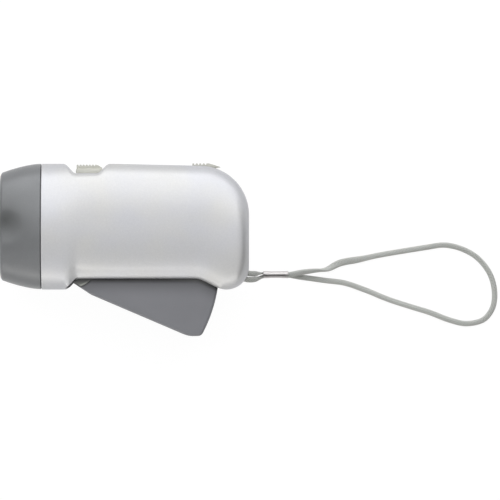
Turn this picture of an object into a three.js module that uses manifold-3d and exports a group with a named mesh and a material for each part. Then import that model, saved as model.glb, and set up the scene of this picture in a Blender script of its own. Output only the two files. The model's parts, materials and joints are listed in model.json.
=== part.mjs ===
// A squeeze-lever dynamo torch, in millimetres. It lies on its right side, as it is put down on a table.
// Inside the file X runs from the front of the head to the tail, Y up from the lamp axis, and Z out of
// the left side from the parting plane. The last lines move the torch so that it rests on Z = 0.
import * as THREE from 'three';
import { mergeVertices } from 'three/addons/utils/BufferGeometryUtils.js';
import Module from 'manifold-3d';

const wasm = await Module();
wasm.setup();

// Driving dimensions
const torch = {
  length: 105,
  headLength: 17.3,
  headHalfHeight: 26.45,
  halfThickness: 22,
  wall: 2,
  tailHeight: 25.6,
  gripDepth: 21.9,
  lobeDepth: 26.6,
};
const fit = {
  seam: 0.3,
  running: 0.25,
  slide: 0.35,
  press: 0.1,
  overrun: 3,
};

// Round pieces get as many sides as their size needs
const sides = { wire: 6, strap: 8, small: 10, post: 12, medium: 16, large: 28, bore: 24, ring: 36 };

const turn = Math.PI * 2;
const degrees = THREE.MathUtils.degToRad;

function solid(geometry) {
  const bare = geometry.clone();
  bare.deleteAttribute('normal');
  bare.deleteAttribute('uv');
  const merged = mergeVertices(bare);
  return new wasm.Manifold(new wasm.Mesh({
    numProp: 3,
    vertProperties: merged.attributes.position.array,
    triVerts: new Uint32Array(merged.index.array),
  }));
}

function geometryOf(body) {
  const made = body.getMesh();
  const geometry = new THREE.BufferGeometry();
  geometry.setAttribute('position', new THREE.BufferAttribute(made.vertProperties, 3));
  geometry.setIndex(new THREE.BufferAttribute(made.triVerts, 1));
  return geometry;
}

function joined(...bodies) {
  return bodies.reduce((all, next) => all.add(next));
}

function block(lowX, highX, lowY, highY, lowZ, highZ) {
  const geometry = new THREE.BoxGeometry(highX - lowX, highY - lowY, highZ - lowZ);
  return solid(geometry.translate((lowX + highX) / 2, (lowY + highY) / 2, (lowZ + highZ) / 2));
}

function plate(outline, lowZ, highZ, bevel = 0) {
  const geometry = new THREE.ExtrudeGeometry(new THREE.Shape(outline), {
    depth: highZ - lowZ - 2 * bevel,
    bevelEnabled: bevel > 0,
    bevelThickness: bevel,
    bevelSize: bevel,
    bevelOffset: -bevel,
    bevelSegments: 2,
  });
  return solid(geometry.translate(0, 0, lowZ + bevel));
}

function round(centre, radius, lowZ, highZ, segments = sides.medium) {
  const geometry = new THREE.CylinderGeometry(radius, radius, highZ - lowZ, segments);
  return solid(geometry.rotateX(Math.PI / 2).translate(centre.x, centre.y, (lowZ + highZ) / 2));
}

// A turned piece on a line along X: the profile holds [distance along X, radius] pairs
function turned(profile, y, z, segments = sides.medium) {
  const points = profile.map(([along, radius]) => new THREE.Vector2(radius, along));
  const geometry = new THREE.LatheGeometry(points, segments);
  return solid(geometry.rotateZ(-Math.PI / 2).translate(0, y, z));
}

// Rings of points, joined one to the next, with a flat cap on the first and the last
function loft(rings) {
  const count = rings[0].length;
  const points = rings.flat();
  const faces = [];
  rings.slice(1).forEach((_, ring) => {
    for (let i = 0; i < count; i += 1) {
      const next = (i + 1) % count;
      const a = ring * count + i;
      const b = ring * count + next;
      faces.push(a, b, a + count, b, b + count, a + count);
    }
  });
  const last = (rings.length - 1) * count;
  for (let i = 1; i < count - 1; i += 1) {
    faces.push(0, i + 1, i, last, last + i, last + i + 1);
  }
  const geometry = new THREE.BufferGeometry();
  const numbers = points.flatMap((point) => point.toArray());
  geometry.setAttribute('position', new THREE.Float32BufferAttribute(numbers, 3));
  geometry.setIndex(faces);
  return solid(geometry);
}

function at(origin, radius, angle) {
  return new THREE.Vector2(origin.x + radius * Math.cos(angle), origin.y + radius * Math.sin(angle));
}

function arcPoints(origin, radius, from, to, count) {
  const place = (_, i) => at(origin, radius, THREE.MathUtils.lerp(from, to, i / count));
  return Array.from({ length: count + 1 }, place);
}

function mirrored(make) {
  return joined(make(1), make(-1));
}

// A wire or strap along a smooth curve; its section is an ellipse
function tube(points, steps, radius, segments = sides.wire, otherRadius = radius) {
  const ellipse = [];
  for (let i = 0; i < segments; i += 1) {
    const corner = at({ x: 0, y: 0 }, 1, ((i + 0.5) * turn) / segments);
    ellipse.push(corner.multiply(new THREE.Vector2(radius, otherRadius)));
  }
  const curve = new THREE.CatmullRomCurve3(points, false, 'centripetal');
  return new THREE.ExtrudeGeometry(new THREE.Shape(ellipse), { steps, extrudePath: curve });
}

// Housing outline, as the side view shows it

const recess = { afterHead: 9.5, frontSlope: 5.1, flat: 9.1, rearSlope: 5.4, depth: 4.05 };
const grip = { afterHead: 10, slope: 6.4 };
const tail = { topRadius: 20.7, bottomRadius: 9.6, edgeRadius: 5.6, sCurve: 13.4 };
// Powers of the rounded cross-section: a low side power crowns the sides, a high top power squares the top
const section = {
  front: { side: 2.5, top: 3.6 },
  grip: { side: 2.3, top: 4.6 },
  settledAfterHead: 20.7,
  crown: 0.3,
};
const recessStart = torch.headLength + recess.afterHead;
const recessFlatStart = recessStart + recess.frontSlope;
const recessFlatEnd = recessFlatStart + recess.flat;
const recessEnd = recessFlatEnd + recess.rearSlope;
const recessFloor = torch.headHalfHeight - recess.depth;
const gripStart = torch.headLength + grip.afterHead;
const tailStart = torch.length - tail.topRadius;
const lobeCentre = torch.length - tail.bottomRadius;

const ease = THREE.MathUtils.smoothstep;

// How far a quarter circle that starts at x = start has fallen
function fall(x, start, radius) {
  const past = THREE.MathUtils.clamp(x - start, 0, radius);
  return radius - Math.sqrt(radius ** 2 - past ** 2);
}

function ridgeAt(x) {
  const along = THREE.MathUtils.clamp(x, recessEnd, tailStart);
  const share = (along - recessEnd) / (tailStart - recessEnd);
  const line = THREE.MathUtils.lerp(torch.headHalfHeight, torch.tailHeight, share);
  return line - fall(x, tailStart, tail.topRadius);
}

function topAt(x) {
  const dip = ease(x, recessStart, recessFlatStart) - ease(x, recessFlatEnd, recessEnd);
  return THREE.MathUtils.lerp(ridgeAt(x), recessFloor, dip);
}

function bottomAt(x) {
  const rise = ease(x, gripStart, gripStart + grip.slope) - ease(x, lobeCentre - tail.sCurve, lobeCentre);
  const belly = -torch.lobeDepth + rise * (torch.lobeDepth - torch.gripDepth);
  return belly + fall(x, lobeCentre, tail.bottomRadius);
}

function halfWidthAt(x) {
  return torch.halfThickness - fall(x, torch.length - tail.edgeRadius, tail.edgeRadius);
}

// One slice across the torch: a soft-cornered oblong, flat on both sides where the torch can lie
function ring(x, top, bottom, halfWidth, powers, count = sides.ring) {
  const middle = (top + bottom) / 2;
  const halfHeight = (top - bottom) / 2;
  const bend = (value, power) => Math.sign(value) * Math.abs(value) ** (2 / power);
  return Array.from({ length: count }, (_, i) => {
    const angle = (i * turn) / count;
    const out = bend(Math.sin(angle), powers.top) * (halfWidth + section.crown);
    const wide = THREE.MathUtils.clamp(out, -halfWidth, halfWidth);
    return new THREE.Vector3(x, middle + bend(Math.cos(angle), powers.side) * halfHeight, wide);
  });
}

function gripRing(x, top, inset, count) {
  const settled = ease(x, torch.headLength, torch.headLength + section.settledAfterHead);
  const mix = (name) => THREE.MathUtils.lerp(section.front[name], section.grip[name], settled);
  const powers = { side: mix('side'), top: mix('top') };
  return ring(x, top(x) - inset, bottomAt(x) + inset, halfWidthAt(x) - inset, powers, count);
}

const gripShares = [0.03, 0.5, 0.75, 0.88];
const tailShares = [0, 0.25, 0.45, 0.62, 0.76, 0.87, 0.95, 0.99];
const curveShares = [0, 0.2, 0.4, 0.6, 0.8, 1];

// Slices nearer to each other than the spacing are left out
function gripStations(front, rear, spacing) {
  const spread = (from, to, shares) => shares.map((share) => THREE.MathUtils.lerp(from, to, share));
  const wanted = [
    ...spread(torch.headLength, tailStart, gripShares),
    ...spread(recessStart, recessFlatStart, curveShares),
    ...spread(recessFlatEnd, recessEnd, curveShares),
    ...spread(tailStart, torch.length, tailShares),
  ].sort((a, b) => a - b);
  const kept = [front];
  wanted.filter((x) => x < rear - fit.press).forEach((x) => {
    if (x - kept[kept.length - 1] > spacing) {
      kept.push(x);
    }
  });
  return [...kept, rear];
}

function gripBody(inset, front, rear, count, spacing, top = topAt) {
  return loft(gripStations(front, rear, spacing).map((x) => gripRing(x, top, inset, count)));
}

// The recess for the switch is cut straight across the top
function switchRecess() {
  const along = [
    ...curveShares.map((share) => THREE.MathUtils.lerp(recessStart, recessFlatStart, share)),
    ...curveShares.map((share) => THREE.MathUtils.lerp(recessFlatEnd, recessEnd, share)),
  ];
  const above = torch.headHalfHeight + fit.overrun;
  return plate([
    new THREE.Vector2(recessEnd, above),
    new THREE.Vector2(recessStart, above),
    ...along.map((x) => new THREE.Vector2(x, topAt(x))),
  ], -torch.halfThickness, torch.halfThickness);
}

// Lever, drawn as it stands at rest, sprung open

const leverPlace = { afterHead: 14.3, aboveLobe: 9.95, beforeTail: 12.5 };
const pivot = new THREE.Vector2(
  torch.headLength + leverPlace.afterHead,
  -torch.lobeDepth + leverPlace.aboveLobe,
);
const lever = {
  hubRadius: 6.6,
  tubeRadius: 3.2,
  discRadius: 8.85,
  discHeight: 0.5,
  halfThickness: 12,
  wall: 1.8,
  edge: 1.2,
  reach: torch.length - leverPlace.beforeTail - pivot.x,
  backOffset: 8.4,
  openAngle: degrees(23.1),
  wallTopAngle: degrees(-5.6),
  toeForward: 7,
  toeDrop: 12.1,
  corner: 5.2,
  cheekRise: 1.5,
  cheekFront: 10.6,
  cheekRear: 7.3,
};
const lug = { lowAngle: degrees(-5.9), highAngle: degrees(-4.1), stick: 2.1, lowZ: 5.6, highZ: 8.6 };
const hubArc = { from: degrees(75), to: degrees(255), openFrom: degrees(15), openTo: degrees(205) };
const slotArc = { from: degrees(-104), to: degrees(-1) };
const slotHalfWidth = lever.halfThickness + fit.slide;

// Where the straight back of the lever would meet its round tail if they had no fillet
function leverCorner(inset) {
  const offset = lever.backOffset - inset;
  const along = Math.sqrt((lever.reach - inset) ** 2 - offset ** 2);
  return at(at(pivot, offset, -lever.openAngle - turn / 4), along, -lever.openAngle);
}

function leverOutline(inset, rise = 0) {
  const reach = lever.reach - inset;
  const corner = leverCorner(inset);
  const cornerAngle = Math.atan2(corner.y - pivot.y, corner.x - pivot.x);
  const radius = lever.corner - inset;
  const tailFrom = cornerAngle + radius / reach;
  const fillet = new THREE.QuadraticBezierCurve(
    at(corner, -radius, -lever.openAngle),
    corner,
    at(pivot, reach, tailFrom),
  );
  const cheek = -torch.gripDepth + lever.cheekRise + rise;
  return [
    ...arcPoints(pivot, lever.hubRadius - inset, hubArc.from, hubArc.to, sides.small),
    new THREE.Vector2(pivot.x + lever.toeForward, pivot.y - lever.toeDrop + inset),
    ...fillet.getPoints(sides.wire),
    ...arcPoints(pivot, reach, tailFrom, lever.wallTopAngle, sides.small).slice(1),
    at(pivot, lever.reach - lever.wall, lever.wallTopAngle + rise / lever.reach),
    new THREE.Vector2(pivot.x + lever.reach - lever.cheekRear, cheek),
    new THREE.Vector2(pivot.x + lever.cheekFront, cheek),
  ];
}

// Wheels: each turns on a steel pin held between the two halves of the housing

const gearing = {
  pressureAngle: degrees(25),
  addendumShare: 0.8,
  dedendumShare: 1.15,
  backlash: 0.16,
  coarse: 0.8,
  fine: 0.6,
  sectorTeeth: 60,
  pinionTeeth: 10,
  driveTeeth: 36,
  idlerTeeth: 30,
};
const line = { drive: degrees(45), idler: degrees(8), rotor: degrees(25) };
const gap = { layers: 0.6, boss: 0.4 };
const axle = { radius: 1, bossRadius: 2.1, hubRadius: 2, cover: 3.5 };
const axleEnd = torch.halfThickness - axle.cover;
const gearLayer = { sectorHalf: 2, thickness: 2.5 };
const pinionLayer = { low: -gearLayer.sectorHalf, high: gearLayer.sectorHalf };
const upperLow = pinionLayer.high + gap.layers;
const upperWheel = { low: upperLow, high: upperLow + gearLayer.thickness };
const lowerWheel = { low: -upperWheel.high, high: -upperWheel.low };
const flywheel = { radius: 9.3, thickness: 2.3, high: lowerWheel.low - gap.layers };
const magnet = { radius: 5.5, low: -1.5, high: 5 };

function pitchRadius(size, teeth) {
  return (size * teeth) / 2;
}

function meshed(centre, size, teeth, angle) {
  return at(centre, pitchRadius(size, teeth + gearing.pinionTeeth), angle);
}

const driveCentre = meshed(pivot, gearing.coarse, gearing.sectorTeeth, line.drive);
const idlerCentre = meshed(driveCentre, gearing.fine, gearing.driveTeeth, line.idler);
const rotorCentre = meshed(idlerCentre, gearing.fine, gearing.idlerTeeth, line.rotor);

function involute(base, radius) {
  return Math.sqrt(Math.max((radius / base) ** 2 - 1, 0)) - Math.acos(Math.min(base / radius, 1));
}

// The outline of a gear with one tooth along firstAngle; a smaller count makes a sector
function gearOutline(centre, size, teeth, firstAngle, count = teeth) {
  const pitch = pitchRadius(size, teeth);
  const base = pitch * Math.cos(gearing.pressureAngle);
  const tip = pitch + size * gearing.addendumShare;
  const root = pitch - size * gearing.dedendumShare;
  const halfTooth = turn / (4 * teeth) - gearing.backlash / (2 * pitch) + involute(base, pitch);
  const low = Math.max(base, root);
  const levels = low > root ? [root, low, (low + tip) / 2, tip] : [root, pitch, tip];
  const flank = levels.map((radius) => [radius, halfTooth - involute(base, radius)]);
  const points = [];
  for (let tooth = 0; tooth < count; tooth += 1) {
    const middle = firstAngle + (tooth * turn) / teeth;
    flank.forEach(([radius, half]) => points.push(at(centre, radius, middle - half)));
    flank.slice().reverse().forEach(([radius, half]) => points.push(at(centre, radius, middle + half)));
  }
  return points;
}

function wheel(centre, size, teeth, firstAngle, layer) {
  return plate(gearOutline(centre, size, teeth, firstAngle), layer.low, layer.high);
}

// A pinion whose tooth space faces back along the line from the wheel that drives it
function pinion(centre, size, fromAngle, layer) {
  const first = fromAngle + turn / 2 + turn / (2 * gearing.pinionTeeth);
  return wheel(centre, size, gearing.pinionTeeth, first, layer);
}

function bored(body, centre, radius = axle.radius + fit.running) {
  return body.subtract(round(centre, radius, -torch.halfThickness, torch.halfThickness, sides.small));
}

function sectorGear() {
  const step = turn / gearing.sectorTeeth;
  const travel = Math.ceil(lever.openAngle / step);
  const spare = 2;
  const first = line.drive - (travel + spare) * step;
  const count = travel + 2 * spare + 1;
  const last = first + (count - 1) * step;
  const outline = [
    ...gearOutline(pivot, gearing.coarse, gearing.sectorTeeth, first, count),
    at(pivot, lever.tubeRadius, last),
    at(pivot, lever.tubeRadius, first),
  ];
  const collarRadius = lever.hubRadius - lever.wall - fit.slide;
  const body = joined(
    plate(outline, pinionLayer.low, pinionLayer.high),
    round(pivot, collarRadius, pinionLayer.low, pinionLayer.high, sides.bore),
  );
  return bored(body, pivot, lever.tubeRadius + fit.press * 2);
}

function ratchetPinion() {
  return bored(pinion(driveCentre, gearing.coarse, line.drive, pinionLayer), driveCentre);
}

const web = { radiusShare: 0.72, depth: 0.7 };

// A shallow round dish in the face of a wheel
function dish(centre, radius, layer) {
  const above = layer.high + fit.overrun;
  return round(centre, radius * web.radiusShare, layer.high - web.depth, above, sides.bore)
    .subtract(round(centre, axle.hubRadius + axle.radius, layer.low, above));
}

function driveWheel() {
  const radius = pitchRadius(gearing.fine, gearing.driveTeeth);
  const body = wheel(driveCentre, gearing.fine, gearing.driveTeeth, line.idler, upperWheel);
  return bored(body.subtract(dish(driveCentre, radius, upperWheel)), driveCentre);
}

function idlerGear() {
  const body = joined(
    pinion(idlerCentre, gearing.fine, line.idler, upperWheel),
    round(idlerCentre, axle.hubRadius, lowerWheel.low, upperWheel.high),
    wheel(idlerCentre, gearing.fine, gearing.idlerTeeth, line.rotor, lowerWheel),
  );
  return bored(body, idlerCentre);
}

function flywheelBody() {
  const low = flywheel.high - flywheel.thickness;
  const body = joined(
    round(rotorCentre, flywheel.radius, low, flywheel.high, sides.large),
    round(rotorCentre, axle.hubRadius, low, magnet.low - fit.press),
    pinion(rotorCentre, gearing.fine, line.rotor, lowerWheel),
  );
  return bored(body, rotorCentre);
}

function rotorMagnet() {
  return bored(round(rotorCentre, magnet.radius, magnet.low, magnet.high, sides.bore), rotorCentre);
}

// Generator

const stator = {
  low: -1,
  high: 2.4,
  halfHeight: 7.95,
  thickness: 1.8,
  poleReach: 5,
  poleGap: 0.4,
  poleOpening: 2.2,
  legX: 14.2,
  legHalf: 1.5,
  rear: 20.7,
};
const coil = { radius: 3.8, flangeRadius: 4.2, flange: 0.8, tube: 0.5 };
const coilCentre = { x: rotorCentre.x + stator.legX, z: (stator.low + stator.high) / 2 };
const coilCore = stator.legHalf * Math.SQRT2 + coil.tube;
const coilSpan = {
  low: rotorCentre.y - stator.halfHeight + stator.thickness + fit.seam,
  high: rotorCentre.y + stator.halfHeight - stator.thickness - fit.seam,
};

function statorCore() {
  const { x, y } = rotorCentre;
  const { low, high, halfHeight, poleReach } = stator;
  const arm = (side) => {
    const edges = [y + side * halfHeight, y + side * (halfHeight - stator.thickness)];
    return block(x - poleReach, x + stator.rear, Math.min(...edges), Math.max(...edges), low, high);
  };
  const open = magnet.radius + torch.wall;
  const through = [low - fit.overrun, high + fit.overrun];
  const poles = block(x - poleReach, x + poleReach, y - halfHeight, y + halfHeight, low, high)
    .subtract(round(rotorCentre, magnet.radius + stator.poleGap, ...through, sides.bore))
    .subtract(block(x - open, x + open, y - stator.poleOpening, y + stator.poleOpening, ...through));
  const legSpan = [coilCentre.x - stator.legHalf, coilCentre.x + stator.legHalf];
  const leg = block(...legSpan, y - halfHeight, y + halfHeight, low, high);
  return joined(mirrored(arm), poles, leg);
}

function upright(radius, lowY, highY) {
  const geometry = new THREE.CylinderGeometry(radius, radius, highY - lowY, sides.bore);
  return solid(geometry.translate(coilCentre.x, (lowY + highY) / 2, coilCentre.z));
}

function coilBobbin() {
  const shell = joined(
    upright(coil.flangeRadius, coilSpan.low, coilSpan.low + coil.flange),
    upright(coil.flangeRadius, coilSpan.high - coil.flange, coilSpan.high),
    upright(coilCore, coilSpan.low, coilSpan.high),
  );
  return shell.subtract(block(
    coilCentre.x - stator.legHalf - fit.press,
    coilCentre.x + stator.legHalf + fit.press,
    coilSpan.low - fit.overrun,
    coilSpan.high + fit.overrun,
    stator.low - fit.press,
    stator.high + fit.press,
  ));
}

function coilWinding() {
  const low = coilSpan.low + coil.flange + fit.press;
  const high = coilSpan.high - coil.flange - fit.press;
  return upright(coil.radius, low, high)
    .subtract(upright(coilCore + fit.press, low - fit.overrun, high + fit.overrun));
}

// Switch on the top, in its recess

const knob = {
  frontGap: 0.15,
  length: 11.3,
  halfWidth: 5,
  shelfHeight: 2,
  height: 3.66,
  rampLength: 3,
  ribPitch: 1.3,
  ribDepth: 0.5,
  travel: 4,
  stemSetBack: 4.15,
  stemLength: 3,
  stemHalf: 1.2,
};
const knobFront = recessFlatStart + knob.frontGap;
const knobRear = knobFront + knob.length;
const knobBottom = recessFloor + fit.seam;
const knobShelf = recessFloor + knob.shelfHeight;
const knobTop = recessFloor + knob.height;
const stemFront = knobFront + knob.stemSetBack;
const stemRear = stemFront + knob.stemLength;

const board = { afterHead: 11.7, length: 29, thickness: 1.6, belowRecess: 5.3, sideGap: 7 };
const boardFront = torch.headLength + board.afterHead;
const boardRear = boardFront + board.length;
const boardTop = recessFloor - board.belowRecess;
const boardHalf = torch.halfThickness - board.sideGap;
const onBoard = boardTop + fit.press;
const can = { end: 1.8, rearEnd: 4, height: 2.9, halfWidth: 3.2, floor: 1, stemGap: 1.1 };
const canRear = stemRear + can.rearEnd;
const canTop = onBoard + can.height;
const canFloor = onBoard + can.floor;
const capacitor = { inset: 5, radius: 2.5, halfLength: 5.5 };
const rectifier = { gap: 1.3, length: 4.5, height: 2.4, halfWidth: 3.5 };

function ribCuts(front, rear, pitch, depth, top, halfWidth) {
  const cuts = [];
  const side = halfWidth + fit.overrun;
  for (let x = front + pitch / 2; x < rear - pitch / 2; x += pitch) {
    cuts.push(block(x, x + pitch / 2, top - depth, top + fit.overrun, -side, side));
  }
  return joined(...cuts);
}

function flatPoints(pairs) {
  return pairs.map(([x, y]) => new THREE.Vector2(x, y));
}

function switchKnob() {
  const inset = knob.halfWidth - knob.ribPitch;
  const front = knobFront + fit.seam;
  const rear = knobRear - fit.seam;
  const rampTop = knobRear - knob.rampLength;
  const cap = plate(flatPoints([
    [front, knobBottom],
    [rear, knobBottom],
    [rear, knobShelf + fit.slide],
    [rampTop, knobTop],
    [front, knobTop],
  ]), -inset, inset);
  return joined(
    block(knobFront, knobRear, knobBottom, knobShelf, -knob.halfWidth, knob.halfWidth),
    cap.subtract(ribCuts(front, rampTop, knob.ribPitch, knob.ribDepth, knobTop, inset)),
    block(stemFront, stemRear, canFloor + can.stemGap, knobShelf, -knob.stemHalf, knob.stemHalf),
  );
}

function circuitBoard() {
  return block(boardFront, boardRear, boardTop - board.thickness, boardTop, -boardHalf, boardHalf);
}

function slideSwitch() {
  const half = knob.stemHalf + fit.running;
  const slotFront = stemFront - knob.travel - fit.slide;
  const slot = block(slotFront, stemRear + fit.slide, canFloor, canTop + fit.overrun, -half, half);
  const front = stemFront - knob.travel - can.end;
  return block(front, canRear, onBoard, canTop, -can.halfWidth, can.halfWidth).subtract(slot);
}

function capacitorBody() {
  const centre = new THREE.Vector2(boardRear - capacitor.inset, onBoard + capacitor.radius);
  return round(centre, capacitor.radius, -capacitor.halfLength, capacitor.halfLength);
}

function rectifierBody() {
  const { gap: space, length, height, halfWidth } = rectifier;
  return block(canRear + space, canRear + space + length, onBoard, onBoard + height, -halfWidth, halfWidth);
}

// Lock at the tail: a thumb piece outside, and a hook inside that holds the lever shut

const lock = {
  beforeTail: 11.9,
  length: 12,
  seatDepth: 1,
  tipRise: 0.4,
  tipLength: 2.2,
  height: 2,
  ribbedLength: 6.9,
  ribPitch: 1.48,
  ribDepth: 0.6,
  halfWidth: 4,
  travel: 4,
  stemSetBack: 3.4,
  stemLength: 3,
  stemHalf: 1.3,
  socket: 1,
};
const lockRear = torch.length - lock.beforeTail;
const lockFront = lockRear - lock.length;
const lockBottom = torch.tailHeight - lock.seatDepth;
const lockTop = lockBottom + lock.height;
const lockStemFront = lockFront + lock.stemSetBack;
const lockStemRear = lockStemFront + lock.stemLength;
const hook = {
  thickness: 1.5,
  low: 6,
  bridgeDrop: 4,
  bridgeHeight: 2,
  shoulderDrop: 12,
  beforeTail: 5.1,
  legWidth: 2,
  toothLength: 2.9,
  toothHeight: 1.9,
  toothGap: 0.98,
};
const hookHigh = hook.low + hook.thickness;
const bridgeTop = lockBottom - hook.bridgeDrop;
const bridgeBottom = bridgeTop - hook.bridgeHeight;

function lockKnob() {
  const body = plate(flatPoints([
    [lockFront, lockTop],
    [lockFront, lockBottom],
    [lockRear - lock.tipLength, lockBottom],
    [lockRear, lockBottom + lock.tipRise],
    [lockRear - 2 * lock.ribPitch, lockTop - lock.ribDepth],
    [lockFront + lock.ribbedLength, lockTop],
  ]), -lock.halfWidth, lock.halfWidth);
  const half = lock.stemHalf + fit.press;
  const socket = block(
    lockStemFront - fit.press,
    lockStemRear + fit.press,
    lockBottom - fit.overrun,
    lockBottom + lock.socket,
    -half,
    half,
  );
  const { ribPitch, ribDepth, halfWidth, ribbedLength } = lock;
  return body
    .subtract(ribCuts(lockFront, lockFront + ribbedLength, ribPitch, ribDepth, lockTop, halfWidth))
    .subtract(socket);
}

function lockHook() {
  const legRear = torch.length - hook.beforeTail;
  const legFront = legRear - hook.legWidth;
  const toothTip = legFront - hook.toothLength;
  const shoulder = lockBottom - hook.shoulderDrop;
  const lugShut = at(pivot, lever.reach + lug.stick, lever.openAngle + lug.lowAngle);
  const toothTop = lugShut.y - hook.toothGap;
  const outline = flatPoints([
    [lockStemFront, shoulder],
    [legFront, shoulder],
    [legFront, toothTop],
    [toothTip, toothTop],
    [toothTip, toothTop - hook.toothHeight],
    [legRear, toothTop - hook.toothHeight],
    [legRear, topAt(legRear) - torch.wall - fit.slide * 2],
    [lockStemRear, bridgeTop],
    [lockStemFront, bridgeTop],
  ]);
  const stemTop = lockBottom + lock.socket - fit.press;
  return joined(
    plate(outline, hook.low, hookHigh),
    block(lockStemFront, lockStemRear, bridgeBottom, bridgeTop, -lock.stemHalf, hookHigh),
    block(lockStemFront, lockStemRear, bridgeBottom, stemTop, -lock.stemHalf, lock.stemHalf),
  );
}

// Where the strap is held at the lower corner of the tail

const strapPin = { beforeTail: 4, aboveLobe: 6.8, radius: 0.6, halfLength: 4.4 };
const strapPinCentre = new THREE.Vector2(
  torch.length - strapPin.beforeTail,
  -torch.lobeDepth + strapPin.aboveLobe,
);
const eyeWindow = { depth: 2.8, rise: 2.8, drop: 5.6, halfWidth: 2.8, wall: 1.2, cover: 2, sideWall: 3.7 };
const windowFront = strapPinCentre.x - eyeWindow.depth;
const windowTop = strapPinCentre.y + eyeWindow.rise;
const cornerFront = windowFront - eyeWindow.wall;
const cornerTop = windowTop + eyeWindow.cover;
const cornerHalf = eyeWindow.halfWidth + eyeWindow.sideWall;

// Housing halves

const screw = {
  afterHead: 6.2,
  lowAfterHead: 5.3,
  beforeTail: 6.5,
  afterBoard: 8.5,
  topInset: 7.05,
  middleInset: 6.15,
  lobeInset: 6.2,
  aboveCorner: 4,
  radius: 0.85,
  end: 6,
  headRadius: 1.9,
  headHeight: 1.4,
  slotHalf: 0.3,
  slotDepth: 0.6,
  bossRadius: 2.4,
  wellRadius: 2.25,
  wellDepth: 6.5,
  floorThickness: 1.1,
};
const wellFloor = screw.wellDepth - torch.halfThickness;
const screwCentres = flatPoints([
  [torch.headLength + screw.afterHead, torch.headHalfHeight - screw.topInset],
  [torch.headLength + screw.lowAfterHead, -torch.lobeDepth + screw.lobeInset],
  [torch.length - screw.beforeTail, cornerTop + screw.aboveCorner],
  [boardRear + screw.afterBoard, torch.headHalfHeight - screw.middleInset],
]);
const springPeg = { forward: 5.6, rise: 6.25, radius: 1, end: 2.6 };
const springPegCentre = new THREE.Vector2(pivot.x - springPeg.forward, pivot.y + springPeg.rise);
const leverPin = { radius: 1.5, bossRadius: 3.2 };
const statorPost = { radius: 1.4, beforeRear: 0.44, rise: 6.56, drop: 6.74 };
const statorPosts = [statorPost.rise, -statorPost.drop].map((rise) => new THREE.Vector2(
  rotorCentre.x + stator.rear - statorPost.beforeRear,
  rotorCentre.y + rise,
));
const rail = { fromFront: 8, fromRear: 3, halfLength: 2, rise: 1.4, grip: 1.4 };
const railCentres = [boardFront + rail.fromFront, boardRear - rail.fromRear];
const shelf = {
  beforeSwitch: 0.8,
  afterSwitch: 0.4,
  beforeLock: 6.1,
  afterLock: 1.9,
  thickness: 1.7,
  spare: 2,
};
const cells = { radius: 10, thickness: 3.2, afterHead: 4.1, centreY: 4 };
const cellsFront = torch.headLength + cells.afterHead;
const holder = {
  front: 0.8,
  length: 8.4,
  floor: 1.8,
  below: 2,
  halfWidth: 12,
  earHeight: 3.8,
  earFront: 0.2,
  earRear: 1.4,
};
const holderFront = cellsFront - holder.front;
const holderRear = holderFront + holder.length;
const holderBottom = cells.centreY - cells.radius - holder.floor;
const earTop = holderBottom + holder.earHeight;
const holderRib = { rise: 1.6, sideGap: 6.8 };

function clipBody() {
  const { headLength, length, wall } = torch;
  return gripBody(fit.seam, headLength + fit.seam * 2, length - fit.seam, sides.bore, wall);
}

function leverSlot() {
  const reach = lever.reach + fit.slide;
  const pocket = slotHalfWidth + lever.discHeight;
  const bay = [pivot, ...arcPoints(pivot, reach, slotArc.from, slotArc.to, sides.large)];
  return joined(
    plate(bay, -slotHalfWidth, slotHalfWidth),
    round(pivot, lever.hubRadius + fit.slide, -slotHalfWidth, slotHalfWidth, sides.large),
    round(pivot, lever.discRadius + fit.slide, slotHalfWidth - fit.slide, pocket, sides.large),
    round(pivot, lever.discRadius + fit.slide, -pocket, fit.slide - slotHalfWidth, sides.large),
  );
}

function knobPockets() {
  const above = torch.headHalfHeight + fit.overrun;
  const pocket = (front, rear, floor, halfWidth) => {
    const half = halfWidth + fit.slide;
    return block(front - fit.slide, rear + fit.slide, floor, above, -half, half);
  };
  return joined(
    pocket(knobFront - knob.travel, knobRear, recessFloor, knob.halfWidth),
    pocket(stemFront - knob.travel, stemRear, canTop, knob.stemHalf),
    pocket(lockFront - lock.travel, torch.length, lockBottom - fit.seam, lock.halfWidth),
    pocket(lockStemFront - lock.travel, lockStemRear, bridgeTop, lock.stemHalf),
  );
}

function thickenedPlaces() {
  const switchHalf = knob.halfWidth + shelf.spare;
  const lockHalf = lock.halfWidth + shelf.spare;
  const switchSpan = [recessStart - shelf.beforeSwitch, recessEnd - shelf.afterSwitch];
  const lockSpan = [lockFront - shelf.beforeLock, lockRear + shelf.afterLock];
  const lockLow = lockBottom - fit.seam - shelf.thickness;
  const high = torch.headHalfHeight;
  return joined(
    block(...switchSpan, recessFloor - shelf.thickness, high, -switchHalf, switchHalf),
    block(...lockSpan, lockLow, high, -lockHalf, lockHalf),
    block(cornerFront, torch.length, -torch.lobeDepth, cornerTop, -cornerHalf, cornerHalf),
  );
}

function eyeRoom() {
  const { drop, halfWidth } = eyeWindow;
  const rear = torch.length + fit.overrun;
  const end = strapPin.halfLength + fit.press;
  return joined(
    block(windowFront, rear, strapPinCentre.y - drop, windowTop, -halfWidth, halfWidth),
    round(strapPinCentre, strapPin.radius + fit.press, -end, end, sides.small),
  );
}

function wholeHousing() {
  const { headLength, length, wall } = torch;
  const shell = gripBody(0, headLength + fit.seam, length, sides.ring, fit.seam, ridgeAt)
    .subtract(gripBody(wall, headLength - fit.overrun, length - wall, sides.bore, wall))
    .subtract(switchRecess());
  return joined(shell, thickenedPlaces().intersect(clipBody()))
    .subtract(joined(leverSlot(), knobPockets(), eyeRoom()));
}

// Low and high Z of something that reaches from |z| = near to |z| = far on the side that sign names
function sideSpan(sign, near, far = torch.halfThickness) {
  return sign > 0 ? [near, far] : [-far, -near];
}

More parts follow.
